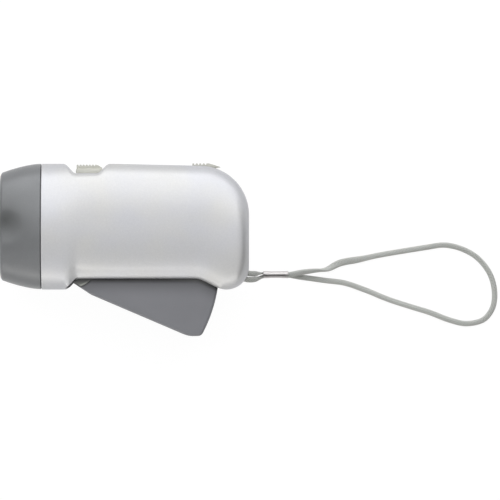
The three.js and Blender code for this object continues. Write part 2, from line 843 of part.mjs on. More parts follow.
function wallPost(sign, centre, radius, from, segments = sides.post) {
  return round(centre, radius, ...sideSpan(sign, from), segments);
}

function pinSeat(sign, centre, radius, end) {
  return round(centre, radius + fit.press, ...sideSpan(sign, 0, end + fit.press), sides.small);
}

function boardRails(sign) {
  const bottom = boardTop - board.thickness;
  const span = [bottom - rail.rise, boardTop + rail.rise, ...sideSpan(sign, boardHalf - rail.grip)];
  const rails = railCentres.map((x) => block(x - rail.halfLength, x + rail.halfLength, ...span));
  const half = boardHalf + fit.seam;
  return joined(...rails)
    .subtract(block(boardFront, boardRear, bottom - fit.press, onBoard, -half, half));
}

function holderRibs(sign) {
  const span = sideSpan(sign, torch.halfThickness - holderRib.sideGap);
  const along = [cellsFront + holder.earFront, holderRear - holder.earRear];
  return joined(
    block(...along, earTop + fit.press, earTop + holderRib.rise, ...span),
    block(...along, holderBottom - holderRib.rise, holderBottom - fit.press, ...span),
  );
}

// Each axle's centre, and how near to the parting plane its seat comes on each side
const axleSeats = [
  [driveCentre, upperWheel.high, -pinionLayer.low],
  [idlerCentre, upperWheel.high, -lowerWheel.low],
  [rotorCentre, magnet.high, flywheel.thickness - flywheel.high],
];

function housingPosts(sign) {
  const seats = axleSeats.map(([centre, left, right]) => {
    const near = sign > 0 ? left : right;
    return wallPost(sign, centre, axle.bossRadius, near + gap.boss);
  });
  const posts = [
    ...seats,
    ...screwCentres.map((centre) => wallPost(sign, centre, screw.bossRadius, fit.seam / 2)),
    wallPost(sign, pivot, leverPin.bossRadius, slotHalfWidth + lever.discHeight),
    boardRails(sign),
    holderRibs(sign),
  ];
  if (sign > 0) {
    posts.push(wallPost(sign, springPegCentre, springPeg.radius, springPeg.end, sides.small));
  } else {
    const shoulder = -wellFloor - screw.floorThickness;
    const wide = screw.wellRadius + screw.floorThickness;
    const underCore = fit.press - stator.low;
    posts.push(...screwCentres.map((centre) => wallPost(sign, centre, wide, shoulder)));
    posts.push(...statorPosts.map((centre) => wallPost(sign, centre, statorPost.radius, underCore)));
  }
  return joined(...posts);
}

function housingBores(sign) {
  const screwSpan = sideSpan(sign, 0, sign > 0 ? screw.end + fit.seam : torch.halfThickness);
  const bores = [
    pinSeat(sign, pivot, leverPin.radius, axleEnd),
    ...axleSeats.map(([centre]) => pinSeat(sign, centre, axle.radius, axleEnd)),
    ...screwCentres.map((centre) => round(centre, screw.radius + fit.press, ...screwSpan, sides.small)),
  ];
  if (sign < 0) {
    const mouth = -torch.halfThickness - fit.overrun;
    const well = (centre) => round(centre, screw.wellRadius, mouth, wellFloor, sides.post);
    bores.push(...screwCentres.map(well));
  }
  return joined(...bores);
}

function housingHalf(sign) {
  const tall = torch.lobeDepth * 2;
  const span = sideSpan(sign, fit.seam / 2, torch.halfThickness + fit.overrun);
  const half = block(-fit.overrun, torch.length + fit.overrun, -tall, tall, ...span);
  return wholeHousing().intersect(half)
    .add(housingPosts(sign).intersect(clipBody()))
    .subtract(housingBores(sign));
}

function housingScrew(centre) {
  const seat = wellFloor - fit.press;
  const outer = seat - screw.headHeight;
  const wide = screw.headRadius * 2;
  const slot = block(
    centre.x - wide,
    centre.x + wide,
    centre.y - screw.slotHalf,
    centre.y + screw.slotHalf,
    outer - fit.overrun,
    outer + screw.slotDepth,
  );
  return joined(
    round(centre, screw.headRadius, outer, seat, sides.post),
    round(centre, screw.radius, seat - fit.press, screw.end, sides.small),
  ).subtract(slot);
}

// Lever assembly

function leverBody() {
  const half = lever.halfThickness;
  const inside = half - lever.wall;
  const { openFrom, openTo } = hubArc;
  const mouth = [pivot, ...arcPoints(pivot, lever.hubRadius * 2, openFrom, openTo, sides.small)];
  const face = half + lever.discHeight;
  const disc = round(pivot, lever.discRadius, -face, face, sides.ring)
    .intersect(plate(leverOutline(lever.edge), -half * 2, half * 2));
  const nose = plate([
    ...arcPoints(pivot, lever.reach + lug.stick, lug.lowAngle, lug.highAngle, 2),
    ...arcPoints(pivot, lever.reach - lever.wall, lug.highAngle, lug.lowAngle, 2),
  ], lug.lowZ, lug.highZ);
  const hollow = plate(leverOutline(lever.wall, fit.overrun), -inside, inside);
  const body = joined(plate(leverOutline(0), -half, half, lever.edge), disc)
    .subtract(joined(hollow, plate(mouth, -inside, inside)));
  const hub = round(pivot, lever.tubeRadius, -half, half, sides.bore);
  return bored(joined(body, hub, nose), pivot, leverPin.radius + fit.running);
}

function axlePin(centre, radius = axle.radius, end = axleEnd) {
  return round(centre, radius, -end, end);
}

const spring = {
  wire: 0.35,
  coil: 4.2,
  turns: 3,
  high: 7.4,
  low: 3.4,
  armRise: 7.05,
  armReach: 17,
  floorGap: 0.15,
};

function leverSpring() {
  const start = turn / 2;
  const end = turn * spring.turns + (3 * turn) / 4 - lever.openAngle;
  const points = [new THREE.Vector3(pivot.x - spring.coil, pivot.y + spring.armRise, spring.high)];
  const count = spring.turns * sides.small + sides.wire;
  for (let i = 0; i <= count; i += 1) {
    const share = i / count;
    const flat = at(pivot, spring.coil, THREE.MathUtils.lerp(start, end, share));
    points.push(new THREE.Vector3(flat.x, flat.y, THREE.MathUtils.lerp(spring.high, spring.low, share)));
  }
  const floor = lever.backOffset - lever.wall - spring.wire - spring.floorGap;
  const tip = at(at(pivot, floor, -lever.openAngle - turn / 4), spring.armReach, -lever.openAngle);
  points.push(new THREE.Vector3(tip.x, tip.y, spring.low));
  return tube(points, 2 * count, spring.wire);
}

// Head

const head = {
  frontDrop: 6.9,
  widthShare: 0.8,
  lipInset: 2.6,
  lipDepth: 3,
  spigotLength: 1.7,
  spigotWall: 1.6,
  openingInset: 7.65,
  openingSideInset: 6.5,
};
// How far the head has narrowed: shares of its length against shares of its drop at the front
const headDropShares = [
  [0, 1],
  [0.02, 0.826],
  [0.058, 0.667],
  [0.139, 0.514],
  [0.289, 0.319],
  [0.486, 0.167],
  [0.682, 0.072],
  [0.879, 0.014],
  [1, 0],
];
const headDrops = headDropShares.map(([along, drop]) => [along * torch.headLength, drop * head.frontDrop]);
const spigotEnd = torch.headLength + head.spigotLength;
const openingHalfHeight = torch.headHalfHeight - head.openingInset;
const openingHalfWidth = torch.halfThickness - head.openingSideInset;
const scoop = { radius: 26, x: -3, y: -0.6, depth: 3.1 };
const headShoulder = torch.wall + fit.seam + head.spigotWall;

function headDropAt(x) {
  const next = headDrops.findIndex(([station]) => station >= x);
  if (next < 1) {
    return next < 0 ? 0 : headDrops[0][1];
  }
  const [fromX, from] = headDrops[next - 1];
  const [toX, to] = headDrops[next];
  return THREE.MathUtils.mapLinear(x, fromX, toX, from, to);
}

function headRing(x, inset, count) {
  const drop = headDropAt(x);
  const halfHeight = torch.headHalfHeight - drop - inset;
  const halfWidth = torch.halfThickness - drop * head.widthShare - inset;
  return ring(x, halfHeight, -halfHeight, halfWidth, section.front, count);
}

function ovalPlate(halfHeight, halfWidth, lowX, highX) {
  const oval = (x) => ring(x, halfHeight, -halfHeight, halfWidth, section.front, sides.bore);
  return loft([oval(lowX), oval(highX)]);
}

// The tapered room behind the lens; pieces inside it keep a gap all round
function headRoom(gapAround, lowX, highX) {
  const wide = headRing(spigotEnd, headShoulder + gapAround, sides.bore);
  const narrow = headRing(head.lipDepth, head.lipInset + gapAround, sides.bore);
  const slice = (x) => narrow.map((point, i) => {
    const share = (x - head.lipDepth) / (spigotEnd - head.lipDepth);
    return point.clone().lerp(wide[i], share).setX(x);
  });
  return loft([slice(lowX), slice(highX)]);
}

// A thumb hollow in the side of the head; it cuts a little into the front rim
function thumbHollow(sign) {
  const geometry = new THREE.SphereGeometry(scoop.radius, sides.ring, sides.ring);
  const centre = sign * (torch.halfThickness + scoop.radius - scoop.depth);
  return solid(geometry.rotateX(Math.PI / 2).translate(scoop.x, scoop.y, centre));
}

function headCollar() {
  const spigotFrom = torch.headLength - fit.overrun;
  const spigot = [spigotFrom, spigotEnd].map((x) => headRing(x, torch.wall + fit.seam, sides.ring));
  return joined(loft(headDrops.map(([x]) => headRing(x, 0, sides.ring))), loft(spigot))
    .subtract(headRoom(0, head.lipDepth, spigotEnd + fit.overrun))
    .subtract(ovalPlate(openingHalfHeight, openingHalfWidth, -fit.overrun, head.lipDepth + fit.overrun))
    .subtract(mirrored(thumbHollow));
}

const lens = { front: 0.45, flange: 1.3 };
const cup = { overlap: 0.5, throat: 2.8, wall: 1, face: 1.6, rise: 9, drop: 6.5 };
const cupMouth = (openingHalfWidth - cup.overlap) / 2;
const cupSpread = openingHalfWidth - cupMouth;
const cupCentres = [
  [cup.rise, 0],
  [-cup.drop, cupSpread],
  [-cup.drop, -cupSpread],
];
const ledBoard = { setBack: 0.6, thickness: 1.6 };
const ledBoardFront = torch.headLength - ledBoard.setBack;
const led = { radius: 2.45, flangeRadius: 2.7, flange: 0.9, straight: 3.4 };
const lensBack = head.lipDepth + fit.seam + lens.flange;
const reflectorFront = lensBack + fit.seam;
const reflectorRear = ledBoardFront - led.flange - fit.seam;

function lensBody() {
  const height = openingHalfHeight - fit.seam;
  const width = openingHalfWidth - fit.seam;
  const flange = headRoom(fit.seam, head.lipDepth + fit.seam, lensBack);
  return joined(ovalPlate(height, width, lens.front, lensBack), flange);
}

function cupCone([y, z], extra, spare) {
  const slope = (cupMouth - cup.throat) / (reflectorRear - reflectorFront);
  const low = reflectorFront - spare;
  const high = reflectorRear + spare;
  return turned([
    [low, 0],
    [low, cupMouth + extra + slope * spare],
    [high, cup.throat + extra - slope * spare],
    [high, 0],
  ], y, z, sides.bore);
}

function reflectorBody() {
  const face = headRoom(fit.seam, reflectorFront, reflectorFront + cup.face);
  const outside = cupCentres.map((centre) => cupCone(centre, cup.wall, 0));
  const inside = cupCentres.map((centre) => cupCone(centre, 0, fit.seam));
  return joined(face, ...outside).subtract(joined(...inside));
}

function ledBody([y, z]) {
  const base = ledBoardFront - fit.press;
  const shoulder = base - led.flange - led.straight;
  const dome = curveShares.slice().reverse().map((share) => {
    const angle = (share * turn) / 4;
    return [shoulder - led.radius * Math.sin(angle), share < 1 ? led.radius * Math.cos(angle) : 0];
  });
  return turned([
    ...dome,
    [base - led.flange, led.radius],
    [base - led.flange, led.flangeRadius],
    [base, led.flangeRadius],
    [base, 0],
  ], y, z);
}

function cellDisc(front, back, radius) {
  const profile = [[front, 0], [front, radius], [back, radius], [back, 0]];
  return turned(profile, cells.centreY, 0, sides.large);
}

function cellBody(index) {
  const front = cellsFront + index * (cells.thickness + fit.seam);
  return cellDisc(front, front + cells.thickness, cells.radius);
}

function cellHolder() {
  const back = cellsFront + 2 * cells.thickness + 2 * fit.seam;
  const top = cells.centreY - holder.below;
  const earFront = cellsFront + holder.earFront + fit.seam;
  const earRear = holderRear - holder.earRear - fit.seam;
  const half = torch.halfThickness - torch.wall * 2;
  return joined(
    block(holderFront, holderRear, holderBottom, top, -holder.halfWidth, holder.halfWidth),
    block(earFront, earRear, holderBottom, earTop, -half, half),
  ).subtract(cellDisc(cellsFront - fit.seam, back, cells.radius + fit.seam));
}

// Wrist strap: an eye round the pin, a crimped metal ferrule, and the loop lying on the table

const strap = { radius: 1.05, eyeThin: 0.5, eyeWide: 1.05, overlap: 3.6, pairY: 0.55 };
const ferrule = {
  behind: 6,
  run: 10.6,
  sag: 0.5,
  drop: 4,
  fall: 6.6,
  wall: 0.4,
  radius: 1.15,
  straight: 1.08,
};
const ferruleFrom = new THREE.Vector3(
  torch.length + ferrule.behind,
  strapPinCentre.y - ferrule.sag,
  -ferrule.drop,
);
const ferruleTo = ferruleFrom.clone().add(new THREE.Vector3(ferrule.run, 0, -ferrule.fall));

function oblongBar(radius, low, high) {
  const end = (side) => {
    const quarter = (side * turn) / 4;
    return arcPoints({ x: side * ferrule.straight, y: 0 }, radius, -quarter, quarter, sides.strap)
      .sort((a, b) => side * (a.y - b.y));
  };
  return plate([...end(1), ...end(-1)], low, high);
}

function strapFerrule() {
  const length = ferruleFrom.distanceTo(ferruleTo);
  const slant = Math.atan2(ferrule.fall, ferrule.run);
  const tubeBody = oblongBar(ferrule.radius + ferrule.wall, 0, length)
    .subtract(oblongBar(ferrule.radius, -fit.overrun, length + fit.overrun));
  const geometry = geometryOf(tubeBody).rotateY(turn / 4 + slant);
  return geometry.translate(ferruleFrom.x, ferruleFrom.y, ferruleFrom.z);
}

const eyeSteps = 52;
const eyeArc = { from: degrees(75), to: degrees(285) };

function strapEye() {
  const along = ferruleTo.clone().sub(ferruleFrom).normalize();
  const around = strapPin.radius + strap.eyeThin + fit.press * 2;
  const inside = ferruleFrom.clone().addScaledVector(along, strap.overlap);
  const bend = arcPoints(strapPinCentre, around, eyeArc.from, eyeArc.to, sides.wire)
    .map((p) => new THREE.Vector3(p.x, p.y, 0));
  const strand = (side) => [inside, ferruleFrom]
    .map((p) => new THREE.Vector3(p.x, p.y + side * strap.pairY, p.z));
  const points = [...strand(1), ...bend, ...strand(-1).reverse()];
  return tube(points, eyeSteps, strap.eyeThin, sides.wire, strap.eyeWide);
}

// Places that the strap passes on its way round, as the photo shows it from above
const strapRoute = [
  [119.3, -20.3, -7.89],
  [122.7, -20.2, -10],
  [127.2, -19.35, -13.3],
  [132.4, -18.7, -17.6],
  [137.9, -17.7, -20.2],
  [143.6, -15, -20.85],
  [151.8, -13.4, -20.85],
  [160, -11.4, -20.85],
  [170.5, -9.6, -20.85],
  [180.3, -8.4, -20.85],
  [187.6, -7.7, -20.85],
  [194.8, -9.9, -20.85],
  [201.6, -14, -20.85],
  [206.9, -20.5, -20.85],
  [209.1, -27.3, -20.85],
  [208.2, -33.6, -20.85],
  [204.2, -38.5, -20.85],
  [197.3, -40.8, -20.85],
  [190, -39.6, -20.85],
  [181.6, -36.7, -20.85],
  [173.1, -33.3, -20.85],
  [163.4, -30.6, -20.85],
  [154.6, -27.4, -20.85],
  [145.5, -23.9, -20.85],
  [137.9, -22.9, -20.7],
  [131.4, -22, -18.9],
  [126.4, -21.3, -15.5],
  [121.6, -20.45, -11.9],
  [118.1, -20.3, -9.72],
];
const strapSteps = 64;

function wristStrap() {
  return tube(strapRoute.map((p) => new THREE.Vector3(...p)), strapSteps, strap.radius, sides.strap);
}

// Leads: enamelled wire from the coil, and insulated wire to the lamps

const lead = { radius: 0.35 };
// Places that each lead passes on its way, from the coil to the board and from the lamps to the board
const coilLeads = [
  [[88.6, 16.5, 4.6], [84, 17.1, 4.9], [79, 17.1, 5.2], [70, 17, 8], [62, 16.8, 8], [58.6, 16.3, 8]],
  [[88.6, 16.5, -3.2], [84, 20.1, -5], [78, 20.6, -9.8], [70, 17, -10.3], [62, 16.8, -9], [58.6, 16.3, -8]],
];
const ledLeads = [
  [[18.8, 13, 5], [20.6, 15.4, 5.6], [24, 16.3, 6.5], [28.6, 16.3, 7]],
  [[18.8, 13, -5], [20.6, 15.4, -5.6], [24, 16.3, -6.5], [28.6, 16.3, -7]],
];

function leadWire(points) {
  return tube(points.map((p) => new THREE.Vector3(...p)), 4 * points.length, lead.radius);
}

// Materials

const materials = {
  silver: { color: 0xc9cacd, roughness: 0.38, metalness: 0.55 },
  headGrey: { color: 0x7f8183, roughness: 0.42, metalness: 0.25 },
  leverGrey: { color: 0x77787c, roughness: 0.5, metalness: 0.05 },
  buttonGrey: { color: 0xafb0a6, roughness: 0.55, metalness: 0 },
  clear: { color: 0xe6ecee, roughness: 0.06, metalness: 0 },
  chrome: { color: 0xdcdee0, roughness: 0.12, metalness: 1 },
  lamp: { color: 0xf2f4ee, roughness: 0.15, metalness: 0 },
  laminate: { color: 0x2f6b45, roughness: 0.5, metalness: 0 },
  steel: { color: 0xb4b6b8, roughness: 0.3, metalness: 1 },
  springSteel: { color: 0x9a9ca0, roughness: 0.35, metalness: 1 },
  whiteNylon: { color: 0xe4e2d8, roughness: 0.5, metalness: 0 },
  blackNylon: { color: 0x2b2c2e, roughness: 0.55, metalness: 0 },
  ferrite: { color: 0x3a3a3c, roughness: 0.6, metalness: 0.2 },
  lamination: { color: 0x74777a, roughness: 0.45, metalness: 0.9 },
  copper: { color: 0xb1622f, roughness: 0.35, metalness: 0.9 },
  sleeve: { color: 0x2b3a66, roughness: 0.5, metalness: 0 },
  redWire: { color: 0xa8322a, roughness: 0.5, metalness: 0 },
  blackWire: { color: 0x232325, roughness: 0.5, metalness: 0 },
  braid: { color: 0xb9beb8, roughness: 0.85, metalness: 0 },
};

const flashlight = new THREE.Group();
flashlight.name = 'flashlight';

function add(name, shape, look) {
  const geometry = shape instanceof THREE.BufferGeometry ? shape : geometryOf(shape);
  const mesh = new THREE.Mesh(geometry, new THREE.MeshStandardMaterial(materials[look]));
  mesh.name = name;
  mesh.material.name = look;
  flashlight.add(mesh);
}

add('left_housing', housingHalf(1), 'silver');
add('right_housing', housingHalf(-1), 'silver');
add('head_collar', headCollar(), 'headGrey');
add('lens', lensBody(), 'clear');
add('reflector', reflectorBody(), 'chrome');
add('led_board', headRoom(fit.seam, ledBoardFront, ledBoardFront + ledBoard.thickness), 'laminate');
cupCentres.forEach((centre, i) => add(`led_${i + 1}`, ledBody(centre), 'lamp'));
add('cell_holder', cellHolder(), 'blackNylon');
[0, 1].forEach((index) => add(`cell_${index + 1}`, cellBody(index), 'steel'));
add('circuit_board', circuitBoard(), 'laminate');
add('slide_switch', slideSwitch(), 'steel');
add('capacitor', capacitorBody(), 'sleeve');
add('rectifier', rectifierBody(), 'blackNylon');
add('switch_knob', switchKnob(), 'buttonGrey');
add('lever', leverBody(), 'leverGrey');
add('lever_pin', axlePin(pivot, leverPin.radius), 'steel');
add('lever_spring', leverSpring(), 'springSteel');
add('sector_gear', sectorGear(), 'whiteNylon');
add('ratchet_pinion', ratchetPinion(), 'blackNylon');
add('drive_wheel', driveWheel(), 'whiteNylon');
add('drive_axle', axlePin(driveCentre), 'steel');
add('idler_gear', idlerGear(), 'whiteNylon');
add('idler_axle', axlePin(idlerCentre), 'steel');
add('flywheel', flywheelBody(), 'whiteNylon');
add('rotor_magnet', rotorMagnet(), 'ferrite');
add('flywheel_axle', axlePin(rotorCentre), 'steel');
add('stator_core', statorCore(), 'lamination');
add('coil_bobbin', coilBobbin(), 'blackNylon');
add('coil_winding', coilWinding(), 'copper');
coilLeads.forEach((route, i) => add(`coil_lead_${i + 1}`, leadWire(route), 'copper'));
ledLeads.forEach((route, i) => add(`led_lead_${i + 1}`, leadWire(route), i ? 'blackWire' : 'redWire'));
add('lock_knob', lockKnob(), 'buttonGrey');
add('lock_hook', lockHook(), 'blackNylon');
screwCentres.forEach((centre, i) => add(`housing_screw_${i + 1}`, housingScrew(centre), 'steel'));
add('strap_pin', axlePin(strapPinCentre, strapPin.radius, strapPin.halfLength), 'steel');
add('strap_eye', strapEye(), 'braid');
add('strap_ferrule', strapFerrule(), 'steel');
add('wrist_strap', wristStrap(), 'braid');

// Rest the torch on its right side, centred on the part of it that is not strap
const strapNames = ['wrist_strap', 'strap_ferrule', 'strap_eye'];
const torchBox = new THREE.Box3();
flashlight.children
  .filter((mesh) => !strapNames.includes(mesh.name))
  .forEach((mesh) => torchBox.union(new THREE.Box3().setFromObject(mesh)));
const middle = torchBox.getCenter(new THREE.Vector3());
flashlight.children.forEach((mesh) => mesh.geometry.translate(-middle.x, -middle.y, -torchBox.min.z));

export default flashlight;
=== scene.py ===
import json
import math

import bmesh
import bpy
import numpy as np
from mathutils import Matrix, Vector
from mathutils.geometry import delaunay_2d_cdt


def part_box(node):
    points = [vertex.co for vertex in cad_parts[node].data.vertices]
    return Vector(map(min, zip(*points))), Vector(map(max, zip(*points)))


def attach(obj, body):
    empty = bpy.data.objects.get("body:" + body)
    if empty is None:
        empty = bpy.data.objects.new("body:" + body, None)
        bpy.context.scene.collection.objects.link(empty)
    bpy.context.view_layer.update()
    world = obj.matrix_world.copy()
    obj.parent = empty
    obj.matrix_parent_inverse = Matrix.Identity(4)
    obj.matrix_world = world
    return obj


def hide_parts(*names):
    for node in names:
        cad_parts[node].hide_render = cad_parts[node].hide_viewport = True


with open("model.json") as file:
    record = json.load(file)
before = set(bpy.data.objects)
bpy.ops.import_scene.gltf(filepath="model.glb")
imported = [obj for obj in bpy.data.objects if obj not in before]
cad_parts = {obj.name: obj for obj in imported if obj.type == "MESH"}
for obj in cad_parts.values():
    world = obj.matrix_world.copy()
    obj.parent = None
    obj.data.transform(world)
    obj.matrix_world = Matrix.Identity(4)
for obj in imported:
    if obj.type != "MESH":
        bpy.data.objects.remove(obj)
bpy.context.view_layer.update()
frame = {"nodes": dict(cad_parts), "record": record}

# The torch's sizes are in millimetres, with X from the front of the head to the tail, Y up from the
# lamp axis towards the switch and Z out of the left side, which faces up while it lies on the table.
mm = 0.001
lensLow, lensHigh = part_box("lens")
lampAxis = (lensLow + lensHigh) / 2
origin = Vector((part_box("head_collar")[0].x, lampAxis.y, lampAxis.z))
toRow = Matrix.Translation(origin) @ Matrix.Scale(mm, 4)


def clamp(value, low, high):
    return max(low, min(high, value))


def blendTo(low, high, share):
    return low + (high - low) * share


def ease(value, start, end):
    share = clamp((value - start) / (end - start), 0, 1)
    return share * share * (3 - 2 * share)


def steps(low, high, count):
    return [blendTo(low, high, i / count) for i in range(count + 1)]


def around(centre, radius, angle):
    return (centre[0] + radius * math.cos(angle), centre[1] + radius * math.sin(angle))


def arc(centre, radius, start, end, count):
    return [around(centre, radius, angle) for angle in steps(start, end, count)]


def turns(count):
    return steps(0, 2 * math.pi, count)[:-1]


def between(value, rising, falling):
    return ease(value, *rising) - ease(value, *falling)


def addObject(name, data):
    thing = bpy.data.objects.new(name, data)
    bpy.context.scene.collection.objects.link(thing)
    return thing


# Camera, straight above the torch as in the photo, in metres

photo = {"centre": (0.0529, 0.0001), "height": 4.0, "level": 0.022, "span": 0.21085}

camera = addObject("camera", bpy.data.cameras.new("camera"))
bpy.context.scene.camera = camera
camera.location = (*photo["centre"], photo["height"])
camera.data.sensor_width = 36
camera.data.lens = 36 * (photo["height"] - photo["level"]) / photo["span"]
camera.data.clip_end = 20
bpy.context.scene.view_settings.view_transform = "Standard"
print("camera ready")


# Shader sums are written as plain sums: a Shade wraps a socket, and make() adds any other node

class Shade:
    def __init__(self, tree, socket=None):
        self.tree = tree
        self.socket = socket

    def make(self, kind, settings=None, sockets=None, out=0):
        node = self.tree.nodes.new(kind)
        for name, value in (settings or {}).items():
            if name == "stops":
                ramp = node.color_ramp
                while len(ramp.elements) < len(value):
                    ramp.elements.new(1)
                for element, (place, colour) in zip(ramp.elements, value):
                    element.position = place
                    element.color = colour
            else:
                setattr(node, name, value)
        for key, value in (sockets or {}).items():
            if isinstance(value, Shade):
                self.tree.links.new(value.socket, node.inputs[key])
            else:
                node.inputs[key].default_value = value
        return Shade(self.tree, node.outputs[out])

    def sums(self, operation, *values):
        return self.make("ShaderNodeMath", {"operation": operation}, dict(enumerate(values)))

    def __add__(self, other):
        return self.sums("ADD", self, other)

    def __sub__(self, other):
        return self.sums("SUBTRACT", self, other)

    def __rsub__(self, other):
        return self.sums("SUBTRACT", other, self)

    def __mul__(self, other):
        return self.sums("MULTIPLY", self, other)

    def __truediv__(self, other):
        return self.sums("DIVIDE", self, other)

    __radd__ = __add__
    __rmul__ = __mul__


def srgb(red, green, blue):
    def linear(value):
        value /= 255
        return value / 12.92 if value <= 0.04045 else ((value + 0.055) / 1.055) ** 2.4
    return (linear(red), linear(green), linear(blue), 1)


def newMaterial(name, constants):
    material = bpy.data.materials.new(name)
    material.use_nodes = True
    surface = material.node_tree.nodes["Principled BSDF"]
    for key, value in constants.items():
        surface.inputs[key].default_value = value
    return material, Shade(material.node_tree), surface


def feed(shade, surface, links):
    for key, value in links.items():
        shade.tree.links.new(value.socket, surface.inputs[key])


def place(shade):
    return shade.make("ShaderNodeTexCoord", out="Object")


def noise(shade, where, scale, detail=3, roughness=0.5):
    sockets = {"Vector": where, "Scale": scale, "Detail": detail, "Roughness": roughness}
    return shade.make("ShaderNodeTexNoise", {"noise_dimensions": "3D"}, sockets)


def axes(shade, where):
    return [shade.make("ShaderNodeSeparateXYZ", {}, {"Vector": where}, out) for out in range(3)]


def reachFrom(shade, where, centre):
    x, y, _ = axes(shade, where)
    across, up = x - (origin.x + centre[0] * mm), y - (origin.y + centre[1] * mm)
    return shade.sums("SQRT", across * across + up * up)


def mixColour(shade, factor, first, second):
    return shade.make("ShaderNodeMix", {"data_type": "RGBA"}, {0: factor, 6: first, 7: second}, 2)


def narrow(shade, value, low, high):
    sockets = {"Value": value, "From Min": low, "From Max": high}
    return shade.make("ShaderNodeMapRange", {"clamp": True}, sockets)


def bump(shade, height, distance, strength=1.0):
    sockets = {"Strength": strength, "Distance": distance, "Height": height}
    return shade.make("ShaderNodeBump", {}, sockets)


materials = {}

# Moulded finishes: two colours that drift into each other, the colour of worn edges, the roughness
# from and to, the scale of a fine grain and its depth in metres
mouldings = {
    "head_plastic": ((118, 120, 122), (111, 113, 115), (154, 155, 156), (0.34, 0.44), 2600, 0.000012),
    "button_plastic": ((196, 196, 187), (188, 188, 180), (212, 213, 206), (0.45, 0.58), 2400, 0.00001),
    "white_nylon": ((230, 228, 219), (220, 217, 206), (240, 239, 233), (0.4, 0.55), 1500, 0.00001),
    "black_nylon": ((43, 44, 46), (36, 37, 39), (70, 71, 73), (0.42, 0.6), 1800, 0.000015),
    "lamp_resin": ((243, 245, 238), (236, 238, 226), (250, 250, 246), (0.08, 0.16), 900, 0.000004),
    "ferrite_magnet": ((58, 58, 60), (48, 48, 50), (92, 92, 94), (0.5, 0.7), 1200, 0.00003),
    "capacitor_sleeve": ((43, 58, 102), (37, 51, 92), (80, 96, 140), (0.35, 0.5), 700, 0.00001),
    "red_wire": ((168, 50, 42), (150, 42, 36), (190, 90, 80), (0.4, 0.55), 1600, 0.00001),
    "black_wire": ((35, 35, 37), (30, 30, 32), (60, 60, 62), (0.4, 0.55), 1600, 0.00001),
}
metallic = {"head_plastic": 0.36, "ferrite_magnet": 0.2}
# What only the head has: light flecks, and painted shade in the thumb hollow, darker towards its middle, as
# in the photo
headLook = {"fleck": srgb(170, 171, 174), "flecks": 0.3, "hollow": srgb(62, 64, 63),
            "hollowShadeCentre": (2.6, 2.8), "hollowShadeRadius": 20, "hollowPaintedShade": 0.72}


def wornEdges(shade):
    # Geometry's Pointiness is near a half on flat ground and more on a ridge
    ridge = shade.make("ShaderNodeNewGeometry", out="Pointiness")
    return narrow(shade, ridge, 0.53, 0.62)


def moulding(name, first, second, worn, roughness, scale, depth):
    material, shade, surface = newMaterial(name, {"Metallic": metallic.get(name, 0)})
    where = place(shade)
    drift = noise(shade, where, 70, 2)
    grain = noise(shade, where, scale, 4, 0.6)
    colour = mixColour(shade, narrow(shade, drift, 0.3, 0.7), srgb(*first), srgb(*second))
    if name == "head_plastic":
        fleck = narrow(shade, noise(shade, where, scale * 2.4, 1), 0.62, 0.72) * headLook["flecks"]
        colour = mixColour(shade, fleck, colour, headLook["fleck"])
        # Painted shade: the thumb hollow is darkened towards its middle
        reach = reachFrom(shade, where, headLook["hollowShadeCentre"])
        dark = narrow(shade, reach, headLook["hollowShadeRadius"] * mm, 0)
        colour = mixColour(shade, dark * dark * headLook["hollowPaintedShade"], colour, headLook["hollow"])
    wear = wornEdges(shade) * narrow(shade, noise(shade, where, 420, 3), 0.42, 0.66) * 0.6
    low, high = roughness
    feed(shade, surface, {
        "Base Color": mixColour(shade, wear, colour, srgb(*worn)),
        "Roughness": low + grain * (high - low),
        "Normal": bump(shade, grain, depth, 0.5),
    })
    return material


for name, values in mouldings.items():
    materials[name] = moulding(name, *values)

silver = {
    "base": srgb(192, 193, 197), "warm": srgb(195, 195, 194), "spark": srgb(228, 229, 232),
    "dark": srgb(164, 165, 170), "worn": srgb(226, 226, 228), "metallic": 0.55, "roughness": 0.4,
    "edge": srgb(222, 222, 224), "grain": 5200,
    # The line colour is a painted shadow along the edge of the channel
    "line": srgb(30, 30, 31), "shadowLineHeight": (0.95, 0.5), "shadowLineFrom": (27.6, 28.6), "shadowLineTo": (33.5, 32.0),
}


def smoothRise(shade, x, start, end):
    # Rises smoothly by the height of the lobes over the channel, from one X to another
    span = {"Value": x, "From Min": origin.x + start * mm, "From Max": origin.x + end * mm}
    height = (grip["lobeDepth"] - grip["depth"]) * mm
    return shade.make("ShaderNodeMapRange", {"clamp": True, "interpolation_type": "SMOOTHSTEP"},
                      {**span, "To Max": height})


